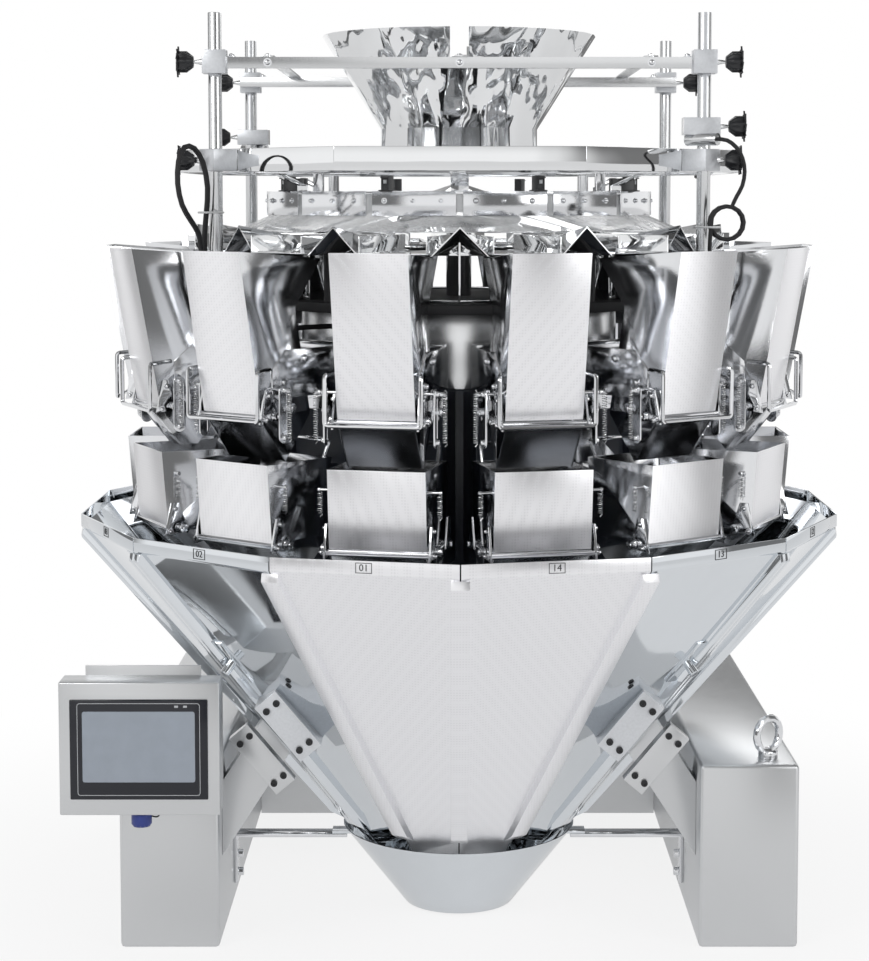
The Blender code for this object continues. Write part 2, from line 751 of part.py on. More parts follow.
def beam_sensor(place, side_x):
    """A block on a post, with its knob, and below it the barrel sensor that looks across the machine."""
    centre = Vector((side_x * SENSOR_BLOCK_X, place.y, SENSOR_BLOCK_Z))
    size = Vector(SENSOR_BLOCK_SIZE) / 2
    body = block(centre - size, centre + size)
    inward = Vector((-place.x, -place.y, 0)).normalized()
    middle = centre + Vector((0, -side_x * SENSOR_FORWARD, 0))
    middle.z = centre.z - size.z - SENSOR_RADIUS + 2 * LAP
    half = inward * SENSOR_LENGTH / 2
    barrel = rod(middle - half, middle + half, SENSOR_RADIUS, 12)
    return [body, barrel] + knob(centre + Vector((side_x * size.x, 0, 0)), (side_x, 0, 0))


def clamp_face(place, side_x):
    return (place.x + side_x * CLAMP_SIZE / 2, place.y, GUARD_BOTTOM_Z + GUARD_HEIGHT / 2)


def guard_clamp(place, angle):
    """The block between a post and the guard ring's nearest flat."""
    facet = round(angle / (2 * math.pi / GUARD_SIDES)) * 2 * math.pi / GUARD_SIDES
    outward = polar(facet, 1, 0)
    reach = place.dot(outward)
    middle = place - outward * reach
    sideways = polar(facet, 0, 0, 1)
    half = CLAMP_SIZE / 2
    base_z = Vector((0, 0, GUARD_BOTTOM_Z + LAP))
    inner = GUARD_APOTHEM + SEAT
    corners = [(-half, inner), (half, inner), (half, reach + half), (-half, reach + half)]
    outline = [middle + sideways * way + outward * radius + base_z for way, radius in corners]
    return prism(outline, (0, 0, GUARD_HEIGHT - 2 * LAP))


def crossbars():
    """Front and rear bars between the posts. The side bars are fixed to the front one."""
    post_x = POST_R * math.sin(POST_ANGLE)
    post_y = POST_R * math.cos(POST_ANGLE)
    half = BAR_SIZE / 2
    for side_y, name in ((-1, "front"), (1, "rear")):
        y = side_y * (post_y - POST_RADIUS - half - LAP)
        reach = post_x + CLAMP_SIZE / 2 - LAP
        bar = block((-reach, y - half, BAR_Z - half), (reach, y + half, BAR_Z + half))
        pieces = []
        holes = []
        for side_x in (-1, 1):
            centre = Vector((side_x * post_x, side_y * post_y, BAR_Z))
            size = Vector((CLAMP_SIZE, CLAMP_SIZE, CLAMP_SIZE)) / 2
            pieces.append(block(centre - size, centre + size))
            pieces += knob(centre + Vector((side_x * size.x, 0, 0)), (side_x, 0, 0))
            tall = Vector((0, 0, CLAMP_SIZE))
            holes.append(rod(centre - tall, centre + tall, POST_RADIUS + SEAT, 16))
            if side_y < 0:
                pieces.append(side_bar(side_x, y, post_y))
        named(cut(joined(bar, *pieces), *holes), f"crossbar_{name}", BRIGHT)


def side_bar(side_x, front_y, post_y):
    """A flat bar from the front crossbar back over the rear one."""
    half = SIDE_BAR_WIDTH / 2
    x = side_x * SIDE_BAR_X
    low = BAR_Z + BAR_SIZE / 2
    plate = block((x - half, front_y - half / 2, low + SEAT), (x + half, post_y, low + SEAT + SHEET))
    pin = rod((x, front_y, low - LAP), (x, front_y, low + 2 * SHEET), half / 2, 8)
    return joined(plate, pin)


def funnel():
    wall = SHEET
    profile = [
        (FUNNEL_RIM_R, FUNNEL_RIM_Z), (FUNNEL_NECK_R, FUNNEL_NECK_Z), (FUNNEL_NECK_R, FUNNEL_END_Z),
        (FUNNEL_NECK_R - wall, FUNNEL_END_Z), (FUNNEL_NECK_R - wall, FUNNEL_NECK_Z),
        (FUNNEL_RIM_R - wall, FUNNEL_RIM_Z),
    ]
    shell = turned(profile, 2 * HEADS, math.pi / 2)
    half = FUNNEL_NOTCH_WIDTH / 2
    low = FUNNEL_RIM_Z - FUNNEL_NOTCH_DEPTH
    shell = cut(shell, block((-half, -2 * FUNNEL_RIM_R, low), (half, 2 * FUNNEL_RIM_R, FUNNEL_RIM_Z + LAP)))
    slope = (FUNNEL_RIM_R - FUNNEL_NECK_R) / (FUNNEL_RIM_Z - FUNNEL_NECK_Z)
    strap_z = BAR_Z + BAR_SIZE / 2 + SEAT
    inner = FUNNEL_NECK_R + (strap_z - FUNNEL_NECK_Z) * slope - LAP
    reach = POST_R * math.cos(POST_ANGLE)
    half = FUNNEL_STRAP_WIDTH / 2
    straps = []
    for side_y in (-1, 1):
        ys = sorted((side_y * inner, side_y * reach))
        straps.append(block((-half, ys[0], strap_z), (half, ys[1], strap_z + SHEET)))
    named(joined(shell, *straps), "infeed_funnel", MIRROR)


def feed_outline():
    return [
        (FEED_TOP_OUTER_R, FEED_TOP_OUTER_Z), (FEED_OUTER_R, FEED_BOTTOM_Z), (FEED_INNER_R, FEED_BOTTOM_Z),
        (FEED_WAIST_R, FEED_WAIST_Z), (FEED_TOP_INNER_R, FEED_TOP_INNER_Z),
    ]


def weigh_outline():
    return [
        (WEIGH_TOP_OUTER_R, WEIGH_TOP_Z), (WEIGH_OUTER_R, WEIGH_BOTTOM_Z),
        (WEIGH_INNER_R, WEIGH_BOTTOM_Z), (WEIGH_TOP_INNER_R, WEIGH_TOP_Z),
    ]


def shrunk(points, wall, open_ends):
    """The outline moved in by the wall, with its open edges moved out instead so that a cut runs through."""
    lines = []
    count = len(points)
    middle = sum((Vector(point) for point in points), Vector((0, 0))) / count
    for i in range(count):
        start, end = Vector(points[i]), Vector(points[(i + 1) % count])
        along = (end - start).normalized()
        inward = Vector((-along.y, along.x))
        if inward.dot(middle - start) < 0:
            inward = -inward
        step = -5 * wall if i in open_ends else wall
        lines.append((start + inward * step, along))
    corners = []
    for i in range(count):
        (p, u), (q, v) = lines[i - 1], lines[i]
        across_uv = u.x * v.y - u.y * v.x
        offset = q - p
        corners.append(p + u * ((offset.x * v.y - offset.y * v.x) / across_uv))
    return [(corner.x, corner.y) for corner in corners]


def hopper(outline, half, open_ends):
    """A hopper's four walls, open at the top and below."""
    return cut(across(outline, half), across(shrunk(outline, SHEET, open_ends), half - SHEET))


def lever_outline(hinge_r, hinge_z, inward):
    """The plate on a gate's hinge that its rollers and spring act on."""
    return [
        (hinge_r - inward * LEVER_TOE, hinge_z - LEVER_TOE),
        (hinge_r + inward * LEVER_BACK, hinge_z - LEVER_TOE / 2),
        (hinge_r + inward * LEVER_LEAN, hinge_z + LEVER_RISE),
        (hinge_r + inward * (LEVER_LEAN - LEVER_TIP), hinge_z + LEVER_RISE),
    ]


def levers(hinge_r, hinge_z, inward, half):
    start = half + HINGE_REACH - 2 * LEVER_THICK
    return both_sides(lever_outline(hinge_r, hinge_z, inward), start, start + LEVER_THICK)


def hinge_bar(hinge_r, hinge_z, half):
    reach = half + HINGE_REACH
    return rod((-reach, -hinge_r, hinge_z), (reach, -hinge_r, hinge_z), HINGE_RADIUS, HINGE_SIDES)


def gate(hinge_r, hinge_z, apex_r, apex_z, half):
    """One gate of a V: a leaf from its hinge to the apex, with a cheek at each end and its hinge bar."""
    inward = 1 if apex_r > hinge_r else -1
    tip_r = apex_r - inward * SEAT
    along = Vector((tip_r - hinge_r, apex_z - hinge_z)).normalized()
    below = Vector((along.y, -along.x)) * inward
    hinge, tip = Vector((hinge_r, hinge_z)), Vector((tip_r, apex_z))
    leaf = across([hinge, tip, tip - Vector((0, SHEET)), hinge + below * SHEET], half - LAP)
    rim_z = hinge_z - HINGE_RADIUS / 2
    cheek = [hinge + below * 1.5 * SHEET, tip - Vector((0, 1.5 * SHEET)), (tip_r, rim_z), (hinge_r, rim_z)]
    pieces = both_sides(cheek, half - SHEET, half)
    pieces.append(hinge_bar(hinge_r, hinge_z, half))
    pieces += levers(hinge_r, hinge_z, inward, half)
    return joined(leaf, *pieces)


def gates(outer_r, inner_r, bottom_z, apex_z, half):
    """The two working gates below a hopper."""
    hinge_z = bottom_z - HINGE_DROP
    apex_r = (outer_r + inner_r) / 2
    return gate(outer_r, hinge_z, apex_r, apex_z, half), gate(inner_r, hinge_z, apex_r, apex_z, half)


def shut_gates(outer_r, inner_r, bottom_z, apex_z, half):
    """Both gates of a hopper as one closed V that is fixed to its walls."""
    hinge_z = bottom_z - HINGE_RADIUS + LAP
    apex_r = (outer_r + inner_r) / 2
    drop = SHEET * math.hypot(outer_r - apex_r, hinge_z - apex_z) / (outer_r - apex_r)
    trough = across(
        [(outer_r, bottom_z + LAP), (outer_r, hinge_z), (apex_r, apex_z), (inner_r, hinge_z),
         (inner_r, bottom_z + LAP), (inner_r + SHEET, bottom_z + LAP), (inner_r + SHEET, hinge_z),
         (apex_r, apex_z + drop), (outer_r - SHEET, hinge_z), (outer_r - SHEET, bottom_z + LAP)],
        half - LAP,
    )
    end = [(outer_r, bottom_z + LAP), (outer_r, hinge_z - LAP), (apex_r, apex_z - LAP),
           (inner_r, hinge_z - LAP), (inner_r, bottom_z + LAP)]
    return [trough, *both_sides(end, half - SHEET, half), hinge_bar(outer_r, hinge_z, half),
            *levers(outer_r, hinge_z, -1, half)]


def drive_unit():
    """The dark drive housing on the tower, its yoke with two cheeks, and the weigh hopper's hook."""
    housing = across(
        [(TOWER_APOTHEM + SEAT, DRIVE_BOTTOM_Z), (DRIVE_FACE_R, DRIVE_BOTTOM_Z),
         (DRIVE_FACE_R, DRIVE_TOP_Z), (TOWER_APOTHEM + SEAT, TOWER_TOP_Z - LAP)],
        DRIVE_HALF_WIDTH,
    )
    yoke_half = FEED_HALF_WIDTH + CHEEK_THICK - LAP
    yoke = across(
        [(YOKE_BACK_R, YOKE_BOTTOM_Z), (YOKE_FRONT_R, YOKE_BOTTOM_Z),
         (YOKE_FRONT_R, YOKE_TOP_Z), (YOKE_BACK_R, YOKE_TOP_Z)],
        yoke_half,
    )
    cheek = [(YOKE_FRONT_R - 0.02, 0.858), (CHEEK_FRONT_R, 0.858), (CHEEK_FRONT_R, 0.900),
             (CHEEK_FRONT_R - 0.030, YOKE_TOP_Z - 0.004), (YOKE_FRONT_R - 0.02, YOKE_TOP_Z - 0.004)]
    plates = both_sides(cheek, FEED_HALF_WIDTH - LAP, FEED_HALF_WIDTH + CHEEK_THICK)
    hook = across(
        [(DRIVE_FACE_R - LAP, HOOK_BOTTOM_Z), (WEIGH_INNER_R, HOOK_BOTTOM_Z),
         (WEIGH_TOP_INNER_R + LAP, HOOK_TOP_Z), (DRIVE_FACE_R - LAP, HOOK_TOP_Z)],
        HOOK_HALF_WIDTH,
    )
    return joined(housing, yoke, hook, *plates)


def heads():
    feed = hopper(feed_outline(), FEED_HALF_WIDTH, (1, 4))
    weigh = hopper(weigh_outline(), WEIGH_HALF_WIDTH, (1, 3))
    body = joined(drive_unit(), feed, weigh)
    feed_gate = (FEED_OUTER_R, FEED_INNER_R, FEED_BOTTOM_Z, FEED_APEX_Z, FEED_HALF_WIDTH - LAP / 2)
    weigh_gate = (WEIGH_OUTER_R, WEIGH_INNER_R, WEIGH_BOTTOM_Z, WEIGH_APEX_Z, WEIGH_HALF_WIDTH - LAP / 2)
    shut = joined(copy_of(body), *shut_gates(*feed_gate), *shut_gates(*weigh_gate))
    moving = {"feed": gates(*feed_gate), "weigh": gates(*weigh_gate)}
    for head in range(HEADS):
        number = f"{head + 1:02d}"
        working = head in WORKING_HEADS
        piece = copy_of(body if working else shut, head_angle(head))
        named(piece, f"head_{number}", BRIGHT)
        if working:
            for hopper_name, (outer, inner) in moving.items():
                named(copy_of(outer, head_angle(head)), f"{hopper_name}_gate_outer_{number}", BRIGHT)
                named(copy_of(inner, head_angle(head)), f"{hopper_name}_gate_inner_{number}", BRIGHT)
    for piece in [body, shut, *moving["feed"], *moving["weigh"]]:
        bpy.data.objects.remove(piece)


def chute_radius(z):
    """Half the chute's width across the flats, outside, at a height below the lip."""
    fold = RIM_TOP_Z - RIM_LIP
    return RIM_APOTHEM - (fold - z) * (RIM_APOTHEM - CHUTE_BOTTOM_APOTHEM) / (fold - CHUTE_BOTTOM_Z)


def chute_panel(angle):
    """One flat panel with its upright lip."""
    fold = RIM_TOP_Z - RIM_LIP
    half_tan = math.tan(HALF_ANGLE)

    def ring(z, radius):
        half = radius * half_tan - LIP_SEAM_GAP
        return [polar(angle, radius, z, -half), polar(angle, radius, z, half),
                polar(angle, radius - SHEET, z, half - SHEET * half_tan),
                polar(angle, radius - SHEET, z, SHEET * half_tan - half)]

    return loft(
        ring(CHUTE_BOTTOM_Z, CHUTE_BOTTOM_APOTHEM),
        ring(fold, RIM_APOTHEM),
        ring(RIM_TOP_Z, RIM_APOTHEM),
    )


def seam_strip(angle, first, last):
    """The folded cover over a seam, from one side distance to another, with its ends run out."""
    corner = 1 / math.cos(HALF_ANGLE)
    slope = (RIM_APOTHEM - CHUTE_BOTTOM_APOTHEM) * corner / (RIM_TOP_Z - RIM_LIP - CHUTE_BOTTOM_Z)
    reach = STRIP_HEIGHT * math.hypot(1, slope)
    sides = sorted({first, min(max(first, 0), last), last})

    def section(z, height):
        radius = chute_radius(z) * corner
        foot = [(side, radius - abs(side) * math.tan(HALF_ANGLE) - LAP) for side in sides]
        points = foot + [(last, radius + height), (first, radius + height)]
        return [polar(angle, depth, z, side) for side, depth in points]

    top = RIM_TOP_Z - RIM_LIP - 2 * SHEET
    return loft(
        section(STRIP_BOTTOM_Z, LAP),
        section(STRIP_BOTTOM_Z + STRIP_TAPER, reach),
        section(top - STRIP_TAPER, reach),
        section(top, LAP),
    )


def on_panel(angle, side, z, height):
    """A point this high above the slope of the panel at an angle."""
    lean = (RIM_APOTHEM - CHUTE_BOTTOM_APOTHEM) / (RIM_TOP_Z - RIM_LIP - CHUTE_BOTTOM_Z)
    across_panel = Vector((1, -lean)).normalized() * height
    return polar(angle, chute_radius(z) + across_panel.x, z + across_panel.y, side)


def saddle(side_x, side_y):
    """The aluminium block on the outside of the panel beside a leg, cut to the panel's slope."""
    angle = HEAD_ANGLE + HALF_ANGLE
    side = chute_radius(SADDLE_Z) * math.tan(HALF_ANGLE) - SADDLE_SEAM
    centre_x = polar(angle, chute_radius(SADDLE_Z), SADDLE_Z, side).x
    face = tilted(side_x, centre_x, SADDLE_Z, SADDLE_LENGTH, SADDLE_WIDTH)
    surface = [(chute_radius(z) - abs(x) * math.sin(angle)) / math.cos(angle) for x, z in face]
    front_y = max(surface) + SADDLE_RISE
    front = [(x, side_y * front_y, z) for x, z in face]
    back = [(x, side_y * (y - LAP), z) for (x, z), y in zip(face, surface)]
    return loft(front, back)


def latch(seam, way):
    """A spring latch beside a group's end seam: its plate on the panel, and its pull knob."""
    angle = seam + way * HALF_ANGLE

    def section(z):
        edge = way * (LATCH_SEAM - chute_radius(z) * math.tan(HALF_ANGLE))
        inner = edge + way * LATCH_WIDTH
        return [on_panel(angle, edge, z, -LAP), on_panel(angle, edge, z, LATCH_THICK),
                on_panel(angle, inner, z, LATCH_THICK), on_panel(angle, inner, z, -LAP)]

    middle = (LATCH_LOW_Z + LATCH_HIGH_Z) / 2
    side = way * (LATCH_SEAM + LATCH_WIDTH / 2 - chute_radius(middle) * math.tan(HALF_ANGLE))
    low, high = (on_panel(angle, side, middle, height) for height in (0, LATCH_KNOB_LENGTH))
    return [loft(section(LATCH_LOW_Z), section(LATCH_HIGH_Z)), rod(low, high, LATCH_KNOB_R, 10)]


def group_trim(angle, way):
    """What is cut off a panel group beyond its end seam, with half the gap to the next group."""
    near, far = way * GROUP_GAP / 2, -way * GROUP_TRIM
    outer = 2 * RIM_APOTHEM
    outline = [polar(angle, 0, 0, near), polar(angle, outer, 0, near),
               polar(angle, outer, 0, far), polar(angle, 0, 0, far)]
    return prism(outline, (0, 0, 2 * RIM_TOP_Z))


def chute_group(name, first, count, fittings=()):
    """Neighbouring panels on one frame, as they lift off together."""
    start, end = first * HEAD_ANGLE, (first + count) * HEAD_ANGLE
    panels = [chute_panel(start + (i + 0.5) * HEAD_ANGLE) for i in range(count)]
    seams = [start + i * HEAD_ANGLE for i in range(1, count)]
    strips = [seam_strip(seam, -STRIP_HALF_WIDTH, STRIP_HALF_WIDTH) for seam in seams]
    strips += [seam_strip(start, -LAP / 2, STRIP_HALF_WIDTH), seam_strip(end, -STRIP_HALF_WIDTH, LAP / 2)]
    group = joined(panels[0], *strips, *panels[1:], *fittings)
    trims = [group_trim(start, 1), group_trim(end, -1)]
    holes = []
    for side_x, side_y in ((-1, -1), (-1, 1), (1, -1), (1, 1)):
        holes += [leg(side_x, side_y, LEG_CLEARANCE), dock(side_x, side_y, LEG_CLEARANCE)]
    named(cut(group, *trims, *holes), name, SATIN)


def docking(side_y, first, count):
    """The saddles and latches of a panel group that docks on two legs."""
    fittings = [saddle(side_x, side_y) for side_x in (-1, 1)]
    return fittings + latch(first * HEAD_ANGLE, 1) + latch((first + count) * HEAD_ANGLE, -1)


def chute():
    chute_group("chute_front", -2, 4, docking(-1, -2, 4))
    chute_group("chute_right", 2, 3)
    chute_group("chute_rear", 5, 4, docking(1, 5, 4))
    chute_group("chute_left", 9, 3)


def outlet_cone():
    wall = SHEET
    profile = [
        (OUTLET_CONE_RIM_R, OUTLET_CONE_RIM_Z), (OUTLET_CONE_END_R, OUTLET_CONE_END_Z),
        (OUTLET_CONE_END_R - wall, OUTLET_CONE_END_Z), (OUTLET_CONE_RIM_R - wall, OUTLET_CONE_RIM_Z),
    ]
    shell = turned(profile, 42)
    slope = (OUTLET_CONE_RIM_R - OUTLET_CONE_END_R) / (OUTLET_CONE_RIM_Z - OUTLET_CONE_END_Z)
    wall_r = OUTLET_CONE_END_R + (LUG_Z - OUTLET_CONE_END_Z) * slope
    half = ARM_WIDTH / 2
    lugs = []
    for side in (-1, 1):
        xs = sorted((side * (wall_r - LAP), side * LUG_REACH))
        lugs.append(block((xs[0], -half, LUG_Z), (xs[1], half, LUG_Z + 2 * SHEET)))
    named(joined(shell, *lugs), "outlet_cone", SATIN, True)
    for side, name in ((-1, "left"), (1, "right")):
        cone_arm(side, name)


def cone_arm(side, name):
    """A flat bar under the cone's lug, out to the side box and down its inner face."""
    top = LUG_Z - SEAT
    outer = BASE_INNER_X - SEAT
    inner = LUG_REACH - 0.024
    points = [
        (inner, top), (outer, top), (outer, ARM_DROP_Z), (outer - ARM_THICK, ARM_DROP_Z),
        (outer - ARM_THICK, top - ARM_THICK), (inner, top - ARM_THICK),
    ]
    half = ARM_WIDTH / 2
    bar = prism([(side * x, -half, z) for x, z in points], (0, ARM_WIDTH, 0))
    face = side * (outer - ARM_THICK)
    bolts = [rod((face + side * LAP, 0, z), (face - side * 0.008, 0, z), 0.007, 8) for z in (0.045, 0.075)]
    named(joined(bar, *bolts), f"cone_arm_{name}", BRIGHT)


def smooth_route(points):
    """Twice as many points on a smooth curve through the given ones."""
    route = []
    for i in range(len(points) - 1):
        before = points[max(i - 1, 0)]
        start, end = points[i], points[i + 1]
        after = points[min(i + 2, len(points) - 1)]
        route += [start, (start + end) * 0.5625 - (before + after) * 0.0625]
    return route + [points[-1]]


def swept(points, diameter):
    """A round lead along its centre line."""
    forward = (points[1] - points[0]).normalized()
    up = forward.orthogonal().normalized()
    sections = []
    for i, point in enumerate(points):
        ahead = (points[min(i + 1, len(points) - 1)] - points[max(i - 1, 0)]).normalized()
        up = (up - ahead * up.dot(ahead)).normalized()
        over = ahead.cross(up)
        turns = [2 * math.pi * side / LEAD_SIDES for side in range(LEAD_SIDES)]
        sections.append([point + (up * math.cos(t) + over * math.sin(t)) * diameter / 2 for t in turns])
    return loft(*sections)


def coil():
    """The spare turns of the right lead, from the top of the coil forwards."""
    middle = Vector(COIL_CENTRE)
    points = []
    for i in range(round(COIL_TURNS * COIL_STEPS) + 1):
        turn = i / COIL_STEPS
        angle = COIL_START + 2 * math.pi * turn
        reach = Vector((math.cos(angle), 0, math.sin(angle))) * COIL_RADIUS
        points.append(middle + reach - Vector((0, COIL_PITCH * turn, 0)))
    return points


def leads():
    inward = [Vector(point) for point in LEAD_IN]
    left_in = [Vector((-x, y, z)) for x, y, z in LEAD_IN]
    left = smooth_route([Vector(point) for point in LEFT_LEAD] + left_in)
    named(swept(left, LEFT_LEAD_DIAMETER), "sensor_lead_left", BLACK, True)
    start = smooth_route([Vector(point) for point in RIGHT_LEAD] + coil()[:1])
    end = smooth_route(coil()[-1:] + [Vector(point) for point in RIGHT_LEAD_DOWN] + inward)
    named(swept(start[:-1] + coil() + end[1:], RIGHT_LEAD_DIAMETER), "sensor_lead_right", BLACK, True)


def operator_panel():
    half_w, half_h = PANEL_WIDTH / 2, PANEL_HEIGHT / 2
    back = PANEL_FRONT_Y + PANEL_DEPTH
    box = block((PANEL_X - half_w, PANEL_FRONT_Y, PANEL_Z - half_h), (PANEL_X + half_w, back, PANEL_Z + half_h))
    low = PANEL_Z - half_h
    socket = rod((SOCKET_X, PANEL_FRONT_Y + 0.02, low + LAP), (SOCKET_X, PANEL_FRONT_Y + 0.02, low - SOCKET_LENGTH),
                 SOCKET_RADIUS, 12)
    named(joined(box, socket), "panel_enclosure", BRIGHT)
    face = PANEL_FRONT_Y - SEAT
    wide, tall = BEZEL_WIDTH / 2, BEZEL_HEIGHT / 2
    screen = block((PANEL_X - wide, face - BEZEL_THICK, PANEL_Z - tall), (PANEL_X + wide, face, PANEL_Z + tall))
    named(screen, "panel_screen", BLACK)
    panel_bracket(back + SEAT)


def panel_bracket(back):
    """The hood plate behind the enclosure, with two arms to the side box's front."""
    half = HOOD_WIDTH / 2
    left, right = PANEL_X - half, PANEL_X + half
    low = PANEL_Z - PANEL_HEIGHT / 2 + 0.004
    plate = block((left, back, low), (right, back + SHEET, HOOD_TOP_Z))
    reach = BASE_FRONT_Y - SEAT
    arms = []
    for x in (left + 0.03, right - 0.03):
        arms.append(block((x - 0.012, back + LAP, low + 0.006), (x + 0.012, reach, low + 0.026)))
    named(joined(plate, *arms), "panel_bracket", BRIGHT)


clear_scene()
STEEL = painted("brushed_steel", (0.62, 0.63, 0.64), 0.9, 0.35)
BRIGHT = painted("bright_steel", (0.72, 0.73, 0.74), 1.0, 0.2)
MIRROR = painted("mirror_steel", (0.80, 0.81, 0.82), 1.0, 0.08)
SATIN = painted("dimpled_steel", (0.78, 0.78, 0.80), 0.9, 0.3)
DARK = painted("dark_housing", (0.055, 0.065, 0.08), 0.0, 0.45)
BLACK = painted("black_plastic", (0.02, 0.02, 0.025), 0.0, 0.4)
FILM = painted("clear_film", (0.85, 0.87, 0.9), 0.0, 0.1)

base()
legs()
tower()
pans()
roofs()
dispersion_cone()
curtain()
guard_ring()
posts()
crossbars()
funnel()
heads()
chute()
outlet_cone()
leads()
operator_panel()
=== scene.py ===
# %% [markdown]
# # A multihead weigher
# The machine shares a stream of product among fourteen small hoppers, weighs what each one holds and
# opens the few whose sum is nearest to the wanted weight. Its solids come packed from CAD, in metres.
# Here they get their finishes, and the small fittings that are too fine for CAD are modelled on them.

import json
import math

import bpy
from mathutils import Matrix, Vector


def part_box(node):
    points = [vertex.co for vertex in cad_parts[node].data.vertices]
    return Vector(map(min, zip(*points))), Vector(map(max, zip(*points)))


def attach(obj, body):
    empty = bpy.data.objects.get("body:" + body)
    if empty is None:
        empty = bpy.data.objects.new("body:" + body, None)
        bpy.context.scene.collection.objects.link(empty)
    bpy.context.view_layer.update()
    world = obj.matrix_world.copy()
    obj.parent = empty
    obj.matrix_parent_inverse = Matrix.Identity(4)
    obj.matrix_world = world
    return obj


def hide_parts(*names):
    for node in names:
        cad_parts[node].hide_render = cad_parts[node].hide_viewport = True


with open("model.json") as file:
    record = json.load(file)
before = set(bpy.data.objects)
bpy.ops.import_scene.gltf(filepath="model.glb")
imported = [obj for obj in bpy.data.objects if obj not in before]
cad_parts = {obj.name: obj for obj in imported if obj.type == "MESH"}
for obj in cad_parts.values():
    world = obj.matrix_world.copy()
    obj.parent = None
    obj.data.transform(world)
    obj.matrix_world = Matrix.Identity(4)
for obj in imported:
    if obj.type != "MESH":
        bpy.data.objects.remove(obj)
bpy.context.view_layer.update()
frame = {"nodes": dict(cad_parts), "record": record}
NODES, RECORD = frame["nodes"], frame["record"]
BODY_OF = {node: body for body, nodes in RECORD["behaviour"]["bodies"].items() for node in nodes}
print(len(NODES), "nodes from CAD")

# %% [markdown]
# ## Where things are
# All heads are the same piece, turned about the machine's axis. So a place is given in a head's own
# plane: a radius, a height and a distance to the side. `round_axis` turns that into a point.

# %% Places round the axis
HEADS = 14
ALL_HEADS = range(1, HEADS + 1)
HEAD_ANGLE = 2 * math.pi / HEADS
ROWS = {"front": -1, "rear": 1}
SIDES = {"left": -1, "right": 1}


def head_angle(head):
    """Head 1 is just left of the front. The numbers run clockwise, seen from above."""
    return -(head - 0.5) * HEAD_ANGLE


def round_axis(angle, radius, height, side=0.0):
    """The point at this radius and height in the direction of the angle, moved to its right."""
    x = radius * math.sin(angle) + side * math.cos(angle)
    y = -radius * math.cos(angle) + side * math.sin(angle)
    return Vector((x, y, height))


print("head 1 looks along", round_axis(head_angle(1), 1, 0))

# %% [markdown]
# ## Shader maths in plain Python
# A finish is a little network of nodes. Writing `spots * 0.2 + 0.1` is easier to read than four node
# calls, so a small class wraps a socket and turns each operator into a Math node.


# %% A class for shader maths
class Signal:
    """An output socket that can be used in sums."""

    def __init__(self, finish, socket):
        self.finish = finish
        self.socket = socket

    def math(self, operation, other, swap=False):
        values = [other, self] if swap else [self, other]
        return self.finish.add("ShaderNodeMath", {"operation": operation}, {0: values[0], 1: values[1]})

    def __add__(self, other):
        return self.math("ADD", other)

    def __sub__(self, other):
        return self.math("SUBTRACT", other)

    def __rsub__(self, other):
        return self.math("SUBTRACT", other, swap=True)

    def __mul__(self, other):
        return self.math("MULTIPLY", other)

    def __lt__(self, other):
        return self.math("LESS_THAN", other)


class Finish:
    """A material whose nodes are added by one method."""

    def __init__(self, name):
        self.material = bpy.data.materials.new(name)
        self.material.use_nodes = True
        self.tree = self.material.node_tree
        self.shader = self.tree.nodes["Principled BSDF"]

    def add(self, kind, settings=None, inputs=None, output=0):
        """A node of this kind: its settings first, then the values or links of its sockets."""
        node = self.tree.nodes.new(kind)
        for name, value in (settings or {}).items():
            if name == "stops":
                self.set_stops(node.color_ramp.elements, value)
            else:
                setattr(node, name, value)
        for name, value in (inputs or {}).items():
            self.feed(node.inputs[name], value)
        return Signal(self, node.outputs[output])

    def set_stops(self, elements, stops):
        while len(elements) < len(stops):
            elements.new(1)
        for element, (position, colour) in zip(elements, stops):
            element.position = position
            element.color = (*colour, 1)

    def feed(self, socket, value):
        if isinstance(value, Signal):
            self.tree.links.new(value.socket, socket)
        else:
            socket.default_value = value

    def set(self, **values):
        """Sets the shader's sockets. An underscore stands for the space in a socket's name."""
        for name, value in values.items():
            if isinstance(value, tuple) and len(value) == 3:
                value = (*value, 1)
            self.feed(self.shader.inputs[name.replace("_", " ")], value)
        return self

    def place(self, stretch=(1, 1, 1)):
        """Object coordinates, stretched."""
        coordinates = self.add("ShaderNodeTexCoord", output="Object")
        return self.add("ShaderNodeMapping", inputs={"Vector": coordinates, "Scale": stretch})

    def noise(self, scale, detail, stretch=(1, 1, 1), roughness=0.5):
        inputs = {"Vector": self.place(stretch), "Scale": scale, "Detail": detail, "Roughness": roughness}
        return self.add("ShaderNodeTexNoise", inputs=inputs)

    def eased(self, value, start, end, low, high):
        """Goes smoothly from low to high while the value goes from start to end."""
        inputs = {"Value": value, "From Min": start, "From Max": end, "To Min": low, "To Max": high}
        return self.add("ShaderNodeMapRange", {"interpolation_type": "SMOOTHSTEP"}, inputs)

    def ray(self, kind):
        """1 for a ray of this kind, otherwise 0."""
        return self.add("ShaderNodeLightPath", output=f"Is {kind} Ray")

    def tint(self, amount, low, high):
        """A colour between two, by a number from 0 to 1."""
        ramp = {"stops": [(0.0, low), (1.0, high)]}
        return self.add("ShaderNodeValToRGB", ramp, {"Fac": amount})

    def bump(self, height, strength, distance):
        inputs = {"Height": height, "Strength": strength, "Distance": distance}
        return self.set(Normal=self.add("ShaderNodeBump", inputs=inputs))


def darker(tone, share):
    return [level * share for level in tone]


print("shader maths is ready")

# %% [markdown]
# ## Stainless steel in four finishes
# Nearly all of the machine is stainless sheet. What tells one sheet from another is how it was
# finished: brushed on the base, bright on brackets, polished like a mirror on all that touches food,
# and pressed with a fine dimple on the flat faces that sticky product would cling to. The metal's
# colour hardly changes. The grain goes into roughness and into a very low bump.

# %% Brushed and bright steel


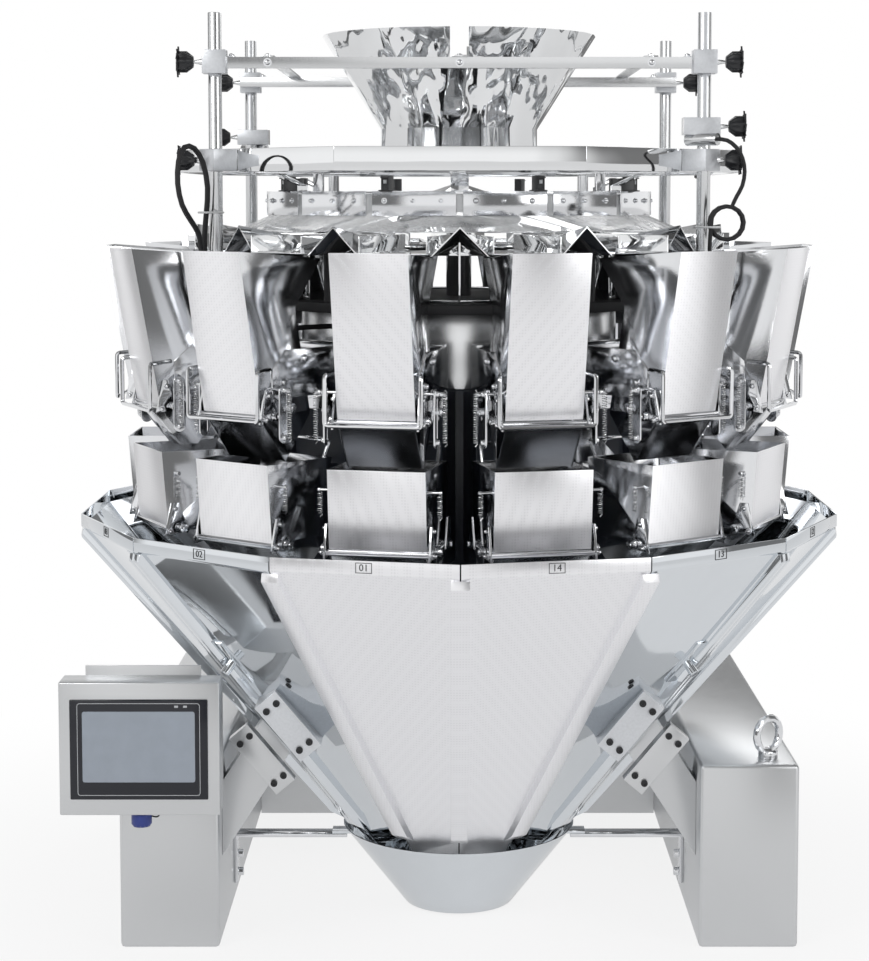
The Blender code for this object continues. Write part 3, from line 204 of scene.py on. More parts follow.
def brushed_steel(name, grain, tone, low, high):
    """Sheet with fine brush lines. grain stretches noise into lines; low and high are its roughness."""
    steel = Finish(name)
    lines = steel.noise(60, detail=6, stretch=grain, roughness=0.7)
    clouds = steel.noise(3.5, detail=2)
    shade = lines * 0.5 + clouds * 0.5
    steel.set(Metallic=1.0, Base_Color=steel.tint(shade, darker(tone, 0.88), tone))
    steel.set(Roughness=lines * (high - low) + low + clouds * 0.06)
    steel.bump(lines, strength=0.12, distance=0.0004)
    return steel.material


BASE_STEEL = brushed_steel("base_steel", (1.5, 1.5, 40), (0.71, 0.72, 0.73), 0.24, 0.38)
BRIGHT_STEEL = brushed_steel("bright_steel", (3, 3, 9), (0.80, 0.81, 0.83), 0.03, 0.10)
DRUM_STEEL = brushed_steel("drum_steel", (1, 1, 6), (0.90, 0.91, 0.92), 0.16, 0.26)
TUBE_STEEL = brushed_steel("tube_steel", (6, 6, 0.6), (0.78, 0.79, 0.80), 0.14, 0.24)
print("brushed finishes ready")

# %% Mirror steel


def mirror_steel(name, swell, depth, tone, stretch=(1, 1, 1)):
    """Polished sheet. Its slow waves bend the reflections, as on all thin sheet."""
    steel = Finish(name)
    waves = steel.noise(swell, 1.5, stretch)
    smears = steel.noise(14, detail=4, stretch=(1, 1, 0.4))
    steel.set(Metallic=1.0, Base_Color=steel.tint(smears, darker(tone, 0.93), tone))
    steel.set(Roughness=smears * 0.07 + 0.015)
    steel.bump(waves, strength=0.6, distance=depth)
    return steel.material


MIRROR_STEEL = mirror_steel("mirror_steel", 7, 0.003, (0.87, 0.88, 0.89))
FUNNEL_STEEL = mirror_steel("funnel_steel", 20, 0.016, (0.84, 0.85, 0.86), (1, 1, 0.04))
CHUTE_STEEL = mirror_steel("chute_steel", 4, 0.003, (0.74, 0.77, 0.80))
print("mirror finishes ready")

# %% Dimpled steel
DIMPLE_RADIUS = 0.34  # as a share of the pitch


def dimpled_steel(name, pitch, tone):
    """Sheet pressed with small round dimples, a fixed pitch apart, each painted darker as shade in its
    hollow.
    """
    steel = Finish(name)
    cells = {"Vector": steel.place(), "Scale": 1 / pitch, "Randomness": 0.0}
    away = steel.add("ShaderNodeTexVoronoi", {"feature": "F1"}, cells, "Distance")
    dimple_and_shade = away < DIMPLE_RADIUS
    # Painted shade: each dimple is 7% darker, for the shade in its hollow; its bump and roughness are real.
    steel.set(Metallic=0.92, Base_Color=steel.tint(dimple_and_shade, tone, darker(tone, 0.93)))
    steel.set(Roughness=dimple_and_shade * 0.1 + 0.30)
    steel.bump(dimple_and_shade, strength=0.15, distance=0.0003)
    return steel.material


DIMPLED_STEEL = dimpled_steel("dimpled_steel", 0.0042, (0.93, 0.93, 0.95))
print("dimpled finish ready")

# %% [markdown]
# ## Paint, plastic, rubber, film and aluminium
# The drives sit in housings with a dark blue-grey powder coat, which has a slight orange peel. Knobs
# and sensors are black plastic with a fine moulded grain. The film is clear and crinkled: its alpha
# rises in the creases, so that they show as pale streaks.

# %% Paint, plastic and film


def grained(name, tone, roughness, grain, depth, metallic=0.0):
    """A plain colour with a fine grain in tone, gloss and surface."""
    coat = Finish(name)
    specks = coat.noise(grain, detail=4)
    coat.set(Metallic=metallic, Base_Color=coat.tint(specks, darker(tone, 0.82), tone))
    coat.set(Roughness=specks * 0.12 + roughness - 0.06)
    coat.bump(specks, strength=0.3, distance=depth)
    return coat.material


HOUSING_PAINT = grained("housing_paint", (0.062, 0.072, 0.092), 0.36, 420, 0.0004)
BLACK_PLASTIC = grained("black_plastic", (0.018, 0.019, 0.022), 0.38, 600, 0.0003)
BLACK_RUBBER = grained("black_rubber", (0.016, 0.016, 0.018), 0.62, 350, 0.0004)
BLUE_PLASTIC = grained("blue_plastic", (0.035, 0.06, 0.30), 0.40, 300, 0.0003)
WHITE_PLASTIC = grained("white_plastic", (0.82, 0.83, 0.84), 0.45, 300, 0.0003)
ALUMINIUM = grained("milled_aluminium", (0.80, 0.82, 0.85), 0.34, 260, 0.0004, 0.55)


def crinkled_film():
    """Clear sheet whose sharper folds are whiter and less clear."""
    film = Finish("crinkled_film")
    folds = film.noise(9, detail=5, stretch=(1, 1, 0.35), roughness=0.65)
    creases = film.add("ShaderNodeMapRange", None, {"Value": folds, "From Min": 0.42, "From Max": 0.72})
    film.set(Base_Color=film.tint(creases, (0.86, 0.88, 0.90), (0.97, 0.98, 0.99)), Roughness=0.08)
    film.set(Alpha=creases * 0.55 + 0.20)
    film.bump(folds, strength=0.8, distance=0.012)
    return film.material


FILM = crinkled_film()
print("paint, plastic and film ready")

# %% [markdown]
# ## Finishing the CAD solids
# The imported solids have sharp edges, and their meshes are loose triangles, so light can't run round a
# corner. A copy of each is merged into clean faces, its edges get a narrow bevel that catches the
# light, and it is shaded smooth except at real corners. The copy then stands for its node.

# %% A copy of a solid with fine edges
SAME_POINT = 0.00002
FLAT_ENOUGH = math.radians(0.4)
CORNER = math.radians(38)
SMOOTH_BELOW = math.radians(35)

def only(piece):
    """Makes this piece the only selected one."""
    bpy.ops.object.select_all(action="DESELECT")
    piece.select_set(True)
    bpy.context.view_layer.objects.active = piece


def merged_copy(node):
    piece = NODES[node].copy()
    piece.data = NODES[node].data.copy()
    piece.parent = None
    for key in list(piece.keys()):
        del piece[key]
    piece.name = piece.data.name = f"{node}_finished"
    bpy.context.scene.collection.objects.link(piece)
    only(piece)
    bpy.ops.object.mode_set(mode="EDIT")
    bpy.ops.mesh.select_all(action="SELECT")
    bpy.ops.mesh.remove_doubles(threshold=SAME_POINT)
    bpy.ops.mesh.dissolve_limited(angle_limit=FLAT_ENOUGH)
    bpy.ops.object.mode_set(mode="OBJECT")
    return piece


def bevel(piece, width, segments=2, angle=0.8):
    """A narrow bevel along each edge that turns by more than the angle."""
    only(piece)
    modifier = piece.modifiers.new("edges", "BEVEL")
    modifier.width, modifier.segments = width, segments
    modifier.limit_method, modifier.angle_limit = "ANGLE", angle
    bpy.ops.object.modifier_apply(modifier=modifier.name)


def smooth(piece):
    only(piece)
    bpy.ops.object.shade_smooth_by_angle(angle=SMOOTH_BELOW)


def coat(piece, *finishes):
    piece.data.materials.clear()
    for finish in finishes:
        piece.data.materials.append(finish)


def dress(node, finish, edge):
    """The node's finished copy: bevelled, smooth and coated."""
    piece = merged_copy(node)
    if edge:
        bevel(piece, edge, angle=CORNER)
    smooth(piece)
    coat(piece, finish)
    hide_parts(node)
    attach(piece, BODY_OF[node])
    return piece


print("finishing helpers ready")

# %% [markdown]
# ## The two sensor leads
# Two black leads hang at the front posts and go back into the drum, so each is a cord of one fixed
# length. A mesh tube could be drawn, but a curve keeps its length and thickness wherever its points
# lie. So each is one open spline along the centre line of its CAD solid, with a round bevel.

# %% Centre lines of the leads
LEAD_IN = [
    (0.3745, -0.2820, 1.000), (0.3690, -0.2690, 0.955), (0.3500, -0.2560, 0.922),
    (0.3150, -0.2370, 0.905), (0.2700, -0.2080, 0.903), (0.2300, -0.1805, 0.903),
    (0.1958, -0.1561, 0.903),
]
LEFT_LEAD = [
    (-0.1958, -0.1561, 0.945), (-0.2345, -0.1875, 0.945), (-0.2850, -0.2225, 0.943),
    (-0.3270, -0.2450, 0.948), (-0.3530, -0.2590, 0.968), (-0.3670, -0.2690, 1.000),
    (-0.3720, -0.2770, 1.040), (-0.3725, -0.2880, 1.080), (-0.3680, -0.2985, 1.120),
    (-0.3650, -0.3080, 1.155), (-0.3700, -0.3180, 1.190), (-0.3810, -0.3320, 1.211),
    (-0.3930, -0.3480, 1.212), (-0.4000, -0.3610, 1.192), (-0.4010, -0.3650, 1.160),
    (-0.3960, -0.3570, 1.130), (-0.3860, -0.3400, 1.108), (-0.3780, -0.3190, 1.090),
    (-0.3760, -0.3010, 1.068), (-0.3770, -0.2900, 1.036),
]
RIGHT_LEAD = [
    (0.3722, -0.3182, 1.2245), (0.3840, -0.3275, 1.2225), (0.3965, -0.3300, 1.213),
    (0.4070, -0.3240, 1.197), (0.4115, -0.3150, 1.178), (0.4090, -0.3105, 1.158),
    (0.4010, -0.3090, 1.142),
]
RIGHT_LEAD_DOWN = [(0.3605, -0.3300, 1.080), (0.3620, -0.3190, 1.055), (0.3690, -0.3030, 1.028)]
COIL_CENTRE = Vector((0.3855, -0.3090, 1.1040))
COIL_RADIUS = 0.024
COIL_START = math.radians(70)
COIL_TURNS = 3.25
COIL_STEPS = 16
COIL_PITCH = 0.0068


def smooth_route(points):
    """Twice as many points on a smooth curve through the given ones."""
    route = []
    for i in range(len(points) - 1):
        before, after = points[max(i - 1, 0)], points[min(i + 2, len(points) - 1)]
        route += [points[i], (points[i] + points[i + 1]) * 0.5625 - (before + after) * 0.0625]
    return route + [points[-1]]


def coil():
    """The spare turns of the right lead, from the top of the coil forwards."""
    points = []
    for i in range(round(COIL_TURNS * COIL_STEPS) + 1):
        turn = i / COIL_STEPS
        angle = COIL_START + 2 * math.pi * turn
        reach = Vector((math.cos(angle), 0, math.sin(angle))) * COIL_RADIUS
        points.append(COIL_CENTRE + reach - Vector((0, COIL_PITCH * turn, 0)))
    return points


def vectors(points, side=1):
    return [Vector((side * x, y, z)) for x, y, z in points]


left_route = smooth_route(vectors(LEFT_LEAD) + vectors(LEAD_IN, -1))
right_route = smooth_route(vectors(RIGHT_LEAD) + coil()[:1])[:-1] + coil()
right_route += smooth_route(coil()[-1:] + vectors(RIGHT_LEAD_DOWN) + vectors(LEAD_IN))[1:]
print(len(left_route), "and", len(right_route), "points")

# %% The leads as cords


def wire(name, points, diameter, facets=3, closed=False):
    """A round wire along a centre line."""
    line = bpy.data.curves.new(name, "CURVE")
    line.dimensions = "3D"
    line.bevel_depth = diameter / 2
    line.bevel_resolution = facets
    line.use_fill_caps = True
    spline = line.splines.new("POLY")
    spline.points.add(len(points) - 1)
    spline.use_cyclic_u = closed
    for place, point in zip(spline.points, points):
        place.co = (*point, 1)
    piece = bpy.data.objects.new(name, line)
    bpy.context.scene.collection.objects.link(piece)
    return piece


def lead(name, route, diameter, node):
    piece = wire(name, route, diameter)
    coat(piece, BLACK_RUBBER)
    tuple(route[0])
    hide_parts(node)
    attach(piece, "frame")
    print(name, round(sum((b - a).length for a, b in zip(route, route[1:])), 3), "m")


lead("left_lead", left_route, 0.008, "sensor_lead_left")
lead("right_lead", right_route, 0.006, "sensor_lead_right")

# %% [markdown]
# ## A finish for every solid
# Solids of one kind have names that begin alike, such as post_front_left. So one table gives the finish
# and the bevel for each kind, and the longest name in it that fits a solid wins.

# %% Dress every solid
# The finish, and the width of the bevel in metres.
FINISH_OF = {
    "base_box": (BASE_STEEL, 0),
    "eyebolt": (BRIGHT_STEEL, 0.0006),
    "leg": (BASE_STEEL, 0.002),
    "tower_housing": (HOUSING_PAINT, 0.002),
    "tower_drum": (DRUM_STEEL, 0.002),
    "feeder_deck": (BLACK_RUBBER, 0.0015),
    "feeder_pans": (MIRROR_STEEL, 0.0005),
    "divider_roofs": (MIRROR_STEEL, 0.0005),
    "dispersion_cone": (MIRROR_STEEL, 0.0005),
    "curtain_ring": (BRIGHT_STEEL, 0.0005),
    "curtain_film": (FILM, 0),
    "guard_ring": (MIRROR_STEEL, 0.0006),
    "post": (TUBE_STEEL, 0.0008),
    "crossbar": (TUBE_STEEL, 0.0008),
    "infeed_funnel": (FUNNEL_STEEL, 0.0005),
    "head": (BRIGHT_STEEL, 0.0005),
    "feed_gate": (BRIGHT_STEEL, 0.0004),
    "weigh_gate": (BRIGHT_STEEL, 0.0004),
    "chute_front": (DIMPLED_STEEL, 0.0006),
    "chute": (CHUTE_STEEL, 0.0006),
    "outlet_cone": (CHUTE_STEEL, 0.0006),
    "cone_arm": (BRIGHT_STEEL, 0.0008),
    "panel_enclosure": (BASE_STEEL, 0.003),
    "panel_screen": (BLACK_PLASTIC, 0.0015),
    "panel_bracket": (BASE_STEEL, 0.0006),
}
PIECES = {}
for node in sorted(set(NODES) - {"sensor_lead_left", "sensor_lead_right"}):
    family = max((name for name in FINISH_OF if node.startswith(name)), key=len)
    PIECES[node] = dress(node, *FINISH_OF[family])
print(len(PIECES), "solids finished")

# %% [markdown]
# ## Two finishes on one solid
# A head is one solid from the dark drive housing to the bright hoppers. The faces are told apart by
# place: what lies close to the tower is painted, and the flat front of each hopper is dimpled.

# %% Paint the housings and dimple the fronts
HOUSING_R = 0.3305
FRONT_R = 0.500
FRONT_AREA = 0.004


def in_housing(face):
    return face.center.xy.length < HOUSING_R


def is_front(face):
    """Whether a face is the large flat front of a hopper."""
    outward = Vector((*face.center.xy, 0)).normalized()
    return face.center.xy.length > FRONT_R and face.normal.dot(outward) > 0.9 and face.area > FRONT_AREA


def finish_faces(piece, index, wanted):
    """Gives the wanted faces the piece's finish of this index, and counts them."""
    chosen = [face for face in piece.data.polygons if wanted(face)]
    for face in chosen:
        face.material_index = index
    return len(chosen)


dimpled = 0
for head in ALL_HEADS:
    piece = PIECES[f"head_{head:02d}"]
    coat(piece, BRIGHT_STEEL, HOUSING_PAINT, DIMPLED_STEEL)
    finish_faces(piece, 1, in_housing)
    dimpled += finish_faces(piece, 2, is_front)
print(dimpled, "dimpled fronts")

# %% [markdown]
# ## Small fittings, modelled by hand
# Knobs, bolts, rollers and springs are too fine for CAD. Each is modelled once at the origin with its
# foot on Z = 0, from a primitive that is shaped in edit mode. Nuts, rollers and pins are round all
# over, so one function makes them from a list of steps, as a lathe would. Then a copy with its own
# mesh is put in each place, and the copies are joined to one piece that rides on the frame or a gate.

# %% Helpers for modelling by hand


def added(kind, **settings):
    """A new primitive, with nothing else selected."""
    bpy.ops.object.select_all(action="DESELECT")
    getattr(bpy.ops.mesh, f"primitive_{kind}_add")(**settings)
    return bpy.context.object


def disc(radius, height, sides):
    """A cylinder that stands on Z = 0."""
    piece = added("cylinder", vertices=sides, radius=radius, depth=height, location=(0, 0, height / 2))
    bpy.ops.object.transform_apply(location=True)
    return piece


def sized(kind, width, depth, height=1, middle=(0, 0, 0)):
    """A plane or a cube of this size."""
    piece = added(kind, size=1, location=(0, 0, 0))
    bpy.ops.transform.resize(value=(width, depth, height), center_override=(0, 0, 0))
    bpy.ops.transform.translate(value=middle)
    bpy.ops.object.transform_apply(location=True, scale=True)
    return piece


def pick_faces(piece, wanted):
    """Enters edit mode with only the wanted faces selected."""
    only(piece)
    bpy.ops.object.mode_set(mode="EDIT")
    bpy.ops.mesh.select_mode(type="FACE")
    bpy.ops.mesh.select_all(action="DESELECT")
    bpy.ops.object.mode_set(mode="OBJECT")
    for face in piece.data.polygons:
        face.select = wanted(face)
    bpy.ops.object.mode_set(mode="EDIT")


def leave():
    bpy.ops.object.mode_set(mode="OBJECT")


def any_face(face):
    return True


def is_top(face):
    return face.normal.z > 0.9


def pull(z, x=0, y=0):
    """Extrudes what is selected."""
    bpy.ops.mesh.extrude_region_move(TRANSFORM_OT_translate={"value": (x, y, z)})


def widen(across, along=None):
    """Scales what is selected about the Z axis."""
    bpy.ops.transform.resize(value=(across, along or across, 1), center_override=(0, 0, 0))


def face_outwards():
    bpy.ops.mesh.select_all(action="SELECT")
    bpy.ops.mesh.normals_make_consistent()


def facing(place, direction, roll=0.0):
    """A place for a model whose own Z axis is to point in this direction."""
    turn = Vector(direction).to_track_quat("Z", "Y").to_matrix().to_4x4()
    return Matrix.Translation(place) @ turn @ Matrix.Rotation(roll, 4, "Z")


def sideways(angle, radius, height, side):
    """A place round the axis whose Z axis points away from the head's middle plane."""
    outward = Vector((math.cos(angle), math.sin(angle), 0)) * math.copysign(1, side)
    return facing(round_axis(angle, radius, height, side), outward)


def upright(angle, radius, height, side=0.0):
    """A place round the axis for a model that stands up and has its front at -Y."""
    return Matrix.Translation(round_axis(angle, radius, height, side)) @ Matrix.Rotation(angle, 4, "Z")


STOOD_UP = Matrix.Rotation(math.pi / 2, 4, "X")


def settled(piece, name, finish, body="frame"):
    """Names a finished piece, coats it, and lets it ride on its body."""
    piece.name = piece.data.name = name
    smooth(piece)
    coat(piece, finish)
    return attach(piece, body)


def joined(pieces):
    only(pieces[0])
    for piece in pieces:
        piece.select_set(True)
    if len(pieces) > 1:
        bpy.ops.object.join()
    return pieces[0]


def repeated(name, model, places, finish, body="frame"):
    """A copy of the model in each place, joined to one piece."""
    copies = []
    for place in places:
        copy = model.copy()
        copy.data = model.data.copy()
        copy.data.transform(place)
        bpy.context.scene.collection.objects.link(copy)
        copies.append(copy)
    return settled(joined(copies), name, finish, body)


print("helpers ready")

# %% Models of bolts, rollers and knobs


def socket_bolt(radius, height):
    """A cap screw with a sunk socket."""
    bolt = disc(radius, height, 18)
    pick_faces(bolt, is_top)
    bpy.ops.mesh.inset(thickness=radius * 0.16)
    pull(height * 0.12)
    bpy.ops.mesh.inset(thickness=radius * 0.30)
    pull(-height * 0.55)
    leave()
    return bolt


def turned(radius, length, sides, foot, shoulder, steps):
    """A turned piece. Its foot and steps up are shares of the length, and each step widens the end."""
    piece = disc(radius, length * foot, sides)
    pick_faces(piece, is_top)
    if shoulder:
        bpy.ops.mesh.inset(thickness=radius * shoulder)
    for rise, share in steps:
        pull(length * rise)
        widen(share)
    leave()
    return piece


# Sides, height of the foot, inset of a shoulder, and the steps: a rise and the change of width on it.
WASHER_NUT = (16, 0.2, 0.3, ((0.45, 0.97), (0.2, 0.86), (0.15, 0.6)))
GROOVED = (16, 0.2, 0, ((0.08, 0.82), (0.3, 1.0), (0.08, 1.22), (0.2, 1.0), (0.05, 0.55), (0.15, 0.9)))
COLLARED = (12, 0.8, 0, ((0.0, 1.6), (0.12, 1.0), (0.08, 0.6)))
# How far out the points of one lobe lie, from tip to tip.
LOBE = (1.0, 0.99, 0.93, 0.86, 0.86, 0.93)
KNOB_SIDES = 8 * len(LOBE)


def star_knob(radius, hub_radius, hub_length, head_length):
    """A plastic hand knob: a tapered hub, and a head with eight lobes."""
    knob = added("circle", vertices=KNOB_SIDES, radius=hub_radius, fill_type="NGON")
    pick_faces(knob, any_face)
    pull(hub_length)
    widen(radius / hub_radius)
    pull(head_length)
    leave()
    for corner in knob.data.vertices:
        if corner.co.xy.length > radius * 0.98:
            step = round(math.atan2(corner.co.y, corner.co.x) / (2 * math.pi) * KNOB_SIDES)
            corner.co.xy *= LOBE[step % len(LOBE)]
    pick_faces(knob, lambda face: is_top(face) and face.center.z > hub_length)
    bpy.ops.mesh.inset(thickness=radius * 0.22)
    pull(-head_length * 0.12)
    bpy.ops.mesh.inset(thickness=radius * 0.25)
    pull(head_length * 0.2)
    face_outwards()
    leave()
    bevel(knob, radius * 0.05)
    return knob


KNOB = star_knob(radius=0.0155, hub_radius=0.0082, hub_length=0.0095, head_length=0.0130)
SMALL_BOLT = turned(0.0042, 0.0042, *WASHER_NUT)
BOLT = turned(0.0062, 0.0055, *WASHER_NUT)
CAP_SCREW = socket_bolt(0.0052, 0.0030)
ROLLER = turned(0.0068, 0.0100, *GROOVED)
SPRING_PIN = turned(0.0022, 0.0370, *COLLARED)
WEIGH_PIN = turned(0.0020, 0.0200, *COLLARED)
MODELS = [KNOB, SMALL_BOLT, BOLT, CAP_SCREW, ROLLER, SPRING_PIN, WEIGH_PIN]
print(len(MODELS), "models,", len(KNOB.data.polygons), "faces on a knob")

# %% [markdown]
# ## Star knobs and clamp blocks
# Each bar and sensor is held by a clamp with a black star knob. CAD has a plain grip there. It could be
# covered, but then the lobes would have to be too fat. So the grip's points are drawn in towards its
# own axis, and a lobed knob goes round that core. Clamp blocks are bare milled aluminium.

# %% Star knobs on their cores
POST_X, POST_Y = 0.3557, 0.2837
GRIP_X = POST_X + 0.031
BAR_Z, GUARD_CLAMP_Z, SENSOR_Z = 1.337, 1.195, 1.244
SENSOR_GRIP_X = 0.3920
GRIP_R = 0.0185  # takes in the whole plain grip
DRAWN_TO = 0.4
ROLL_BY = 0.3  # so that no two knobs stop alike
knob_places = []


def draw_in(piece, side, start_x, y, z):
    """Draws a plain grip in towards its own axis."""
    for corner in piece.data.vertices:
        off_axis = math.hypot(corner.co.y - y, corner.co.z - z)
        if side * corner.co.x > start_x - 0.0004 and off_axis < GRIP_R:
            corner.co.y = y + (corner.co.y - y) * DRAWN_TO
            corner.co.z = z + (corner.co.z - z) * DRAWN_TO


for side_name, side in SIDES.items():
    for row, way in ROWS.items():
        post = PIECES[f"post_{row}_{side_name}"]
        sites = [(PIECES[f"crossbar_{row}"], GRIP_X, BAR_Z), (post, GRIP_X, GUARD_CLAMP_Z)]
        if side == -way:
            sites.append((post, SENSOR_GRIP_X, SENSOR_Z))
        for piece, start_x, z in sites:
            draw_in(piece, side, start_x, way * POST_Y, z)
            roll = ROLL_BY * len(knob_places)
            knob_places.append(facing((side * start_x, way * POST_Y, z), (side, 0, 0), roll))
repeated("star_knobs", KNOB, knob_places, BLACK_PLASTIC)
print(len(knob_places), "knobs")

# %% Aluminium clamps on posts and bars
BAR_BLOCK, GUARD_BLOCK, SENSOR_BLOCK = 0.0175, 0.0165, 0.013  # half heights
BLOCK_X, BLOCK_Y = 0.0185, 0.06  # how far a clamp reaches from its post's axis


def in_clamp(face):
    """Whether a face belongs to a clamp block on a post."""
    off_x, off_y = abs(abs(face.center.x) - POST_X), abs(abs(face.center.y) - POST_Y)
    at_bar = abs(face.center.z - BAR_Z) < BAR_BLOCK and off_y < BAR_BLOCK
    at_guard = abs(face.center.z - GUARD_CLAMP_Z) < GUARD_BLOCK
    at_sensor = abs(face.center.z - SENSOR_Z) < SENSOR_BLOCK
    flat = max(abs(part) for part in face.normal) > 0.9 or at_guard
    return off_x < BLOCK_X and off_y < BLOCK_Y and flat and (at_bar or at_guard or at_sensor)


for row in ROWS:
    for name in (f"post_{row}_left", f"post_{row}_right", f"crossbar_{row}"):
        coat(PIECES[name], TUBE_STEEL, ALUMINIUM)
        finish_faces(PIECES[name], 1, in_clamp)
print("clamps coated")

# %% [markdown]
# ## Levers, springs and rods on the hoppers
# Each gate is worked by levers with rollers, and held shut by springs. Fourteen heads have the same
# set, so it is placed in a head's own plane, on both sides of it. What sits on a lever of a working
# gate rides on that gate, and the rest rides on the frame.

# %% A spring and a link plate


def as_mesh(line):
    """Turns a wire into a mesh."""
    only(line)
    bpy.ops.object.convert(target="MESH")
    return bpy.context.object


def spring(radius, length, turns, diameter, steps=10, tail=0.004):
    """An upright coil spring with straight ends."""
    points = [Vector((0, 0, -tail))]
    for i in range(turns * steps + 1):
        angle = 2 * math.pi * i / steps
        height = length * i / (turns * steps)
        points.append(Vector((radius * math.cos(angle), radius * math.sin(angle), height)))
    points.append(Vector((0, 0, length + tail)))
    return as_mesh(wire("spring_model", points, diameter, facets=0))


def link_plate(width, height, thick):
    """An upright plate with rounded ends, flat against X."""
    lying = (0, math.pi / 2, 0)
    plate = added("cylinder", vertices=20, radius=width / 2, depth=thick, location=(0, 0, 0), rotation=lying)
    bpy.ops.object.transform_apply(rotation=True)
    for corner in plate.data.vertices:
        corner.co.z += math.copysign(height / 2 - width / 2, corner.co.z)
    pick_faces(plate, lambda face: face.normal.x > 0.9)
    bpy.ops.mesh.inset(thickness=width * 0.14)
    pull(0, x=-thick * 0.3)
    leave()
    bevel(plate, 0.0003, segments=1, angle=0.9)
    return plate


FEED_SPRING = spring(0.0034, 0.070, 22, 0.0011)
WEIGH_SPRING = spring(0.0034, 0.030, 10, 0.0011)
LINK = link_plate(0.018, 0.082, 0.0025)
MODELS += [FEED_SPRING, WEIGH_SPRING, LINK]
print(len(FEED_SPRING.data.vertices), "points in a spring")

# %% Fittings on both sides of each head
# Name, model, finish, way to place it, and its places: radius, height and distance to the side.
HEAD_FITTINGS = (
    ("hopper_nuts", BOLT, BRIGHT_STEEL, sideways, (
        (0.495, 0.872, 0.0793), (0.495, 0.805, 0.0793), (0.474, 0.880, 0.0585), (0.430, 0.912, 0.0585),
    )),
    ("link_rollers", ROLLER, BRIGHT_STEEL, sideways, ((0.482, 0.846, 0.0765),)),
    ("link_plates", LINK, BRIGHT_STEEL, upright, ((0.495, 0.838, 0.0785),)),
    ("feed_springs", FEED_SPRING, TUBE_STEEL, upright, ((0.497, 0.804, 0.0920),)),
    ("weigh_springs", WEIGH_SPRING, TUBE_STEEL, upright, ((0.500, 0.702, 0.0855),)),
    ("link_pins", SPRING_PIN, BRIGHT_STEEL, sideways, ((0.495, 0.872, 0.0555),)),
    ("weigh_pins", WEIGH_PIN, BRIGHT_STEEL, sideways, ((0.500, 0.7365, 0.0690),)),
)
for name, model, finish, placed, spots in HEAD_FITTINGS:
    places = []
    for head in ALL_HEADS:
        for side in SIDES.values():
            places += [placed(head_angle(head), radius, height, side * out) for radius, height, out in spots]
    repeated(name, model, places, finish)
    print(len(places), name)

# %% Nuts and rollers on the gates' levers
# The hinge's radius and height, and the lever's distance to the side.
LEVERS = {"feed": (0.517, 0.831, 0.0625), "weigh": (0.511, 0.650, 0.0770)}
# Model, and how far it is from the hinge: outwards, upwards and to the side.
ON_LEVER = ((SMALL_BOLT, -0.0085, 0.033, 0), (ROLLER, -0.021, 0.003, 0), (SMALL_BOLT, 0, 0, 0.003))
gate_nuts = {"frame": []}
for head in ALL_HEADS:
    for side in SIDES.values():
        for kind, (hinge_r, hinge_z, lever) in LEVERS.items():
            body = f"{kind}_gate_outer_{head:02d}" if head in (1, HEADS) else "frame"
            for model, out, up, off in ON_LEVER:
                place = sideways(head_angle(head), hinge_r + out, hinge_z + up, side * (lever + off))
                gate_nuts.setdefault(body, []).append((model, place))
for body, places in gate_nuts.items():
    for model, name in ((SMALL_BOLT, "nuts"), (ROLLER, "rollers")):
        chosen = [place for kind, place in places if kind is model]
        repeated(f"{body}_lever_{name}", model, chosen, BRIGHT_STEEL, body)

# %% [markdown]
# ## Rods round the hopper fronts
# A polished rod runs under each front edge and up both sides. It could be bent from a circle by spins,
# but a path of points with a round bevel is quicker to read, so it is drawn as a line and then made a
# mesh.

# %% A rod for each head


def rounded(points, radius, steps=4):
    """A path with its corners rounded off."""
    path = [points[0]]
    for before, corner, after in zip(points, points[1:], points[2:]):
        enter = corner + (before - corner).normalized() * radius
        leave_at = corner + (after - corner).normalized() * radius
        for i in range(steps + 1):
            t = i / steps
            path.append(enter * (1 - t) ** 2 + corner * 2 * t * (1 - t) + leave_at * t**2)
    return path + [points[-1]]


def bent_rod(points, diameter, radius=0.0, closed=False):
    """A rod as a mesh. Its corners are bent to the radius, if there is one."""
    return as_mesh(wire("rod", rounded(points, radius) if radius else points, diameter, 2, closed))


def rod_set(name, corners, diameter):
    """The same rod on each head. A corner is a distance to the side, a radius and a height."""
    rods = []
    for head in ALL_HEADS:
        points = [round_axis(head_angle(head), radius, height, side) for side, radius, height in corners]
        rods.append(bent_rod(points, diameter, 0.006))
    settled(joined(rods), name, BRIGHT_STEEL)


FEED_ROD = [
    (-0.0570, 0.500, 0.900), (-0.0680, 0.5365, 0.898), (-0.0680, 0.5365, 0.829),
    (0.0680, 0.5365, 0.829), (0.0680, 0.5365, 0.898), (0.0570, 0.500, 0.900),
]
WEIGH_HOOK = [(-0.055, 0.386, 0.764), (-0.055, 0.372, 0.790), (0.055, 0.372, 0.790), (0.055, 0.386, 0.764)]
rod_set("feed_rods", FEED_ROD, 0.0062)
rod_set("weigh_hooks", WEIGH_HOOK, 0.0060)
print("rods bent")

# %% [markdown]
# ## Head numbers
# Each lip of the chute carries its head's number in a small frame, so that a hopper goes back where it
# belongs. The digits are text made into a mesh, and the frame is a plane whose middle is cut out.

# %% Numbers in small frames
LIP_R, LIP_Z = 0.5853, 0.6435
DIGIT_SIZE, INK_DEPTH = 0.0135, 0.00015
PLATE_WIDTH, PLATE_HEIGHT, PLATE_LINE = 0.0230, 0.0145, 0.0009
INK = grained("number_ink", (0.035, 0.037, 0.042), 0.45, 500, 0.0002)


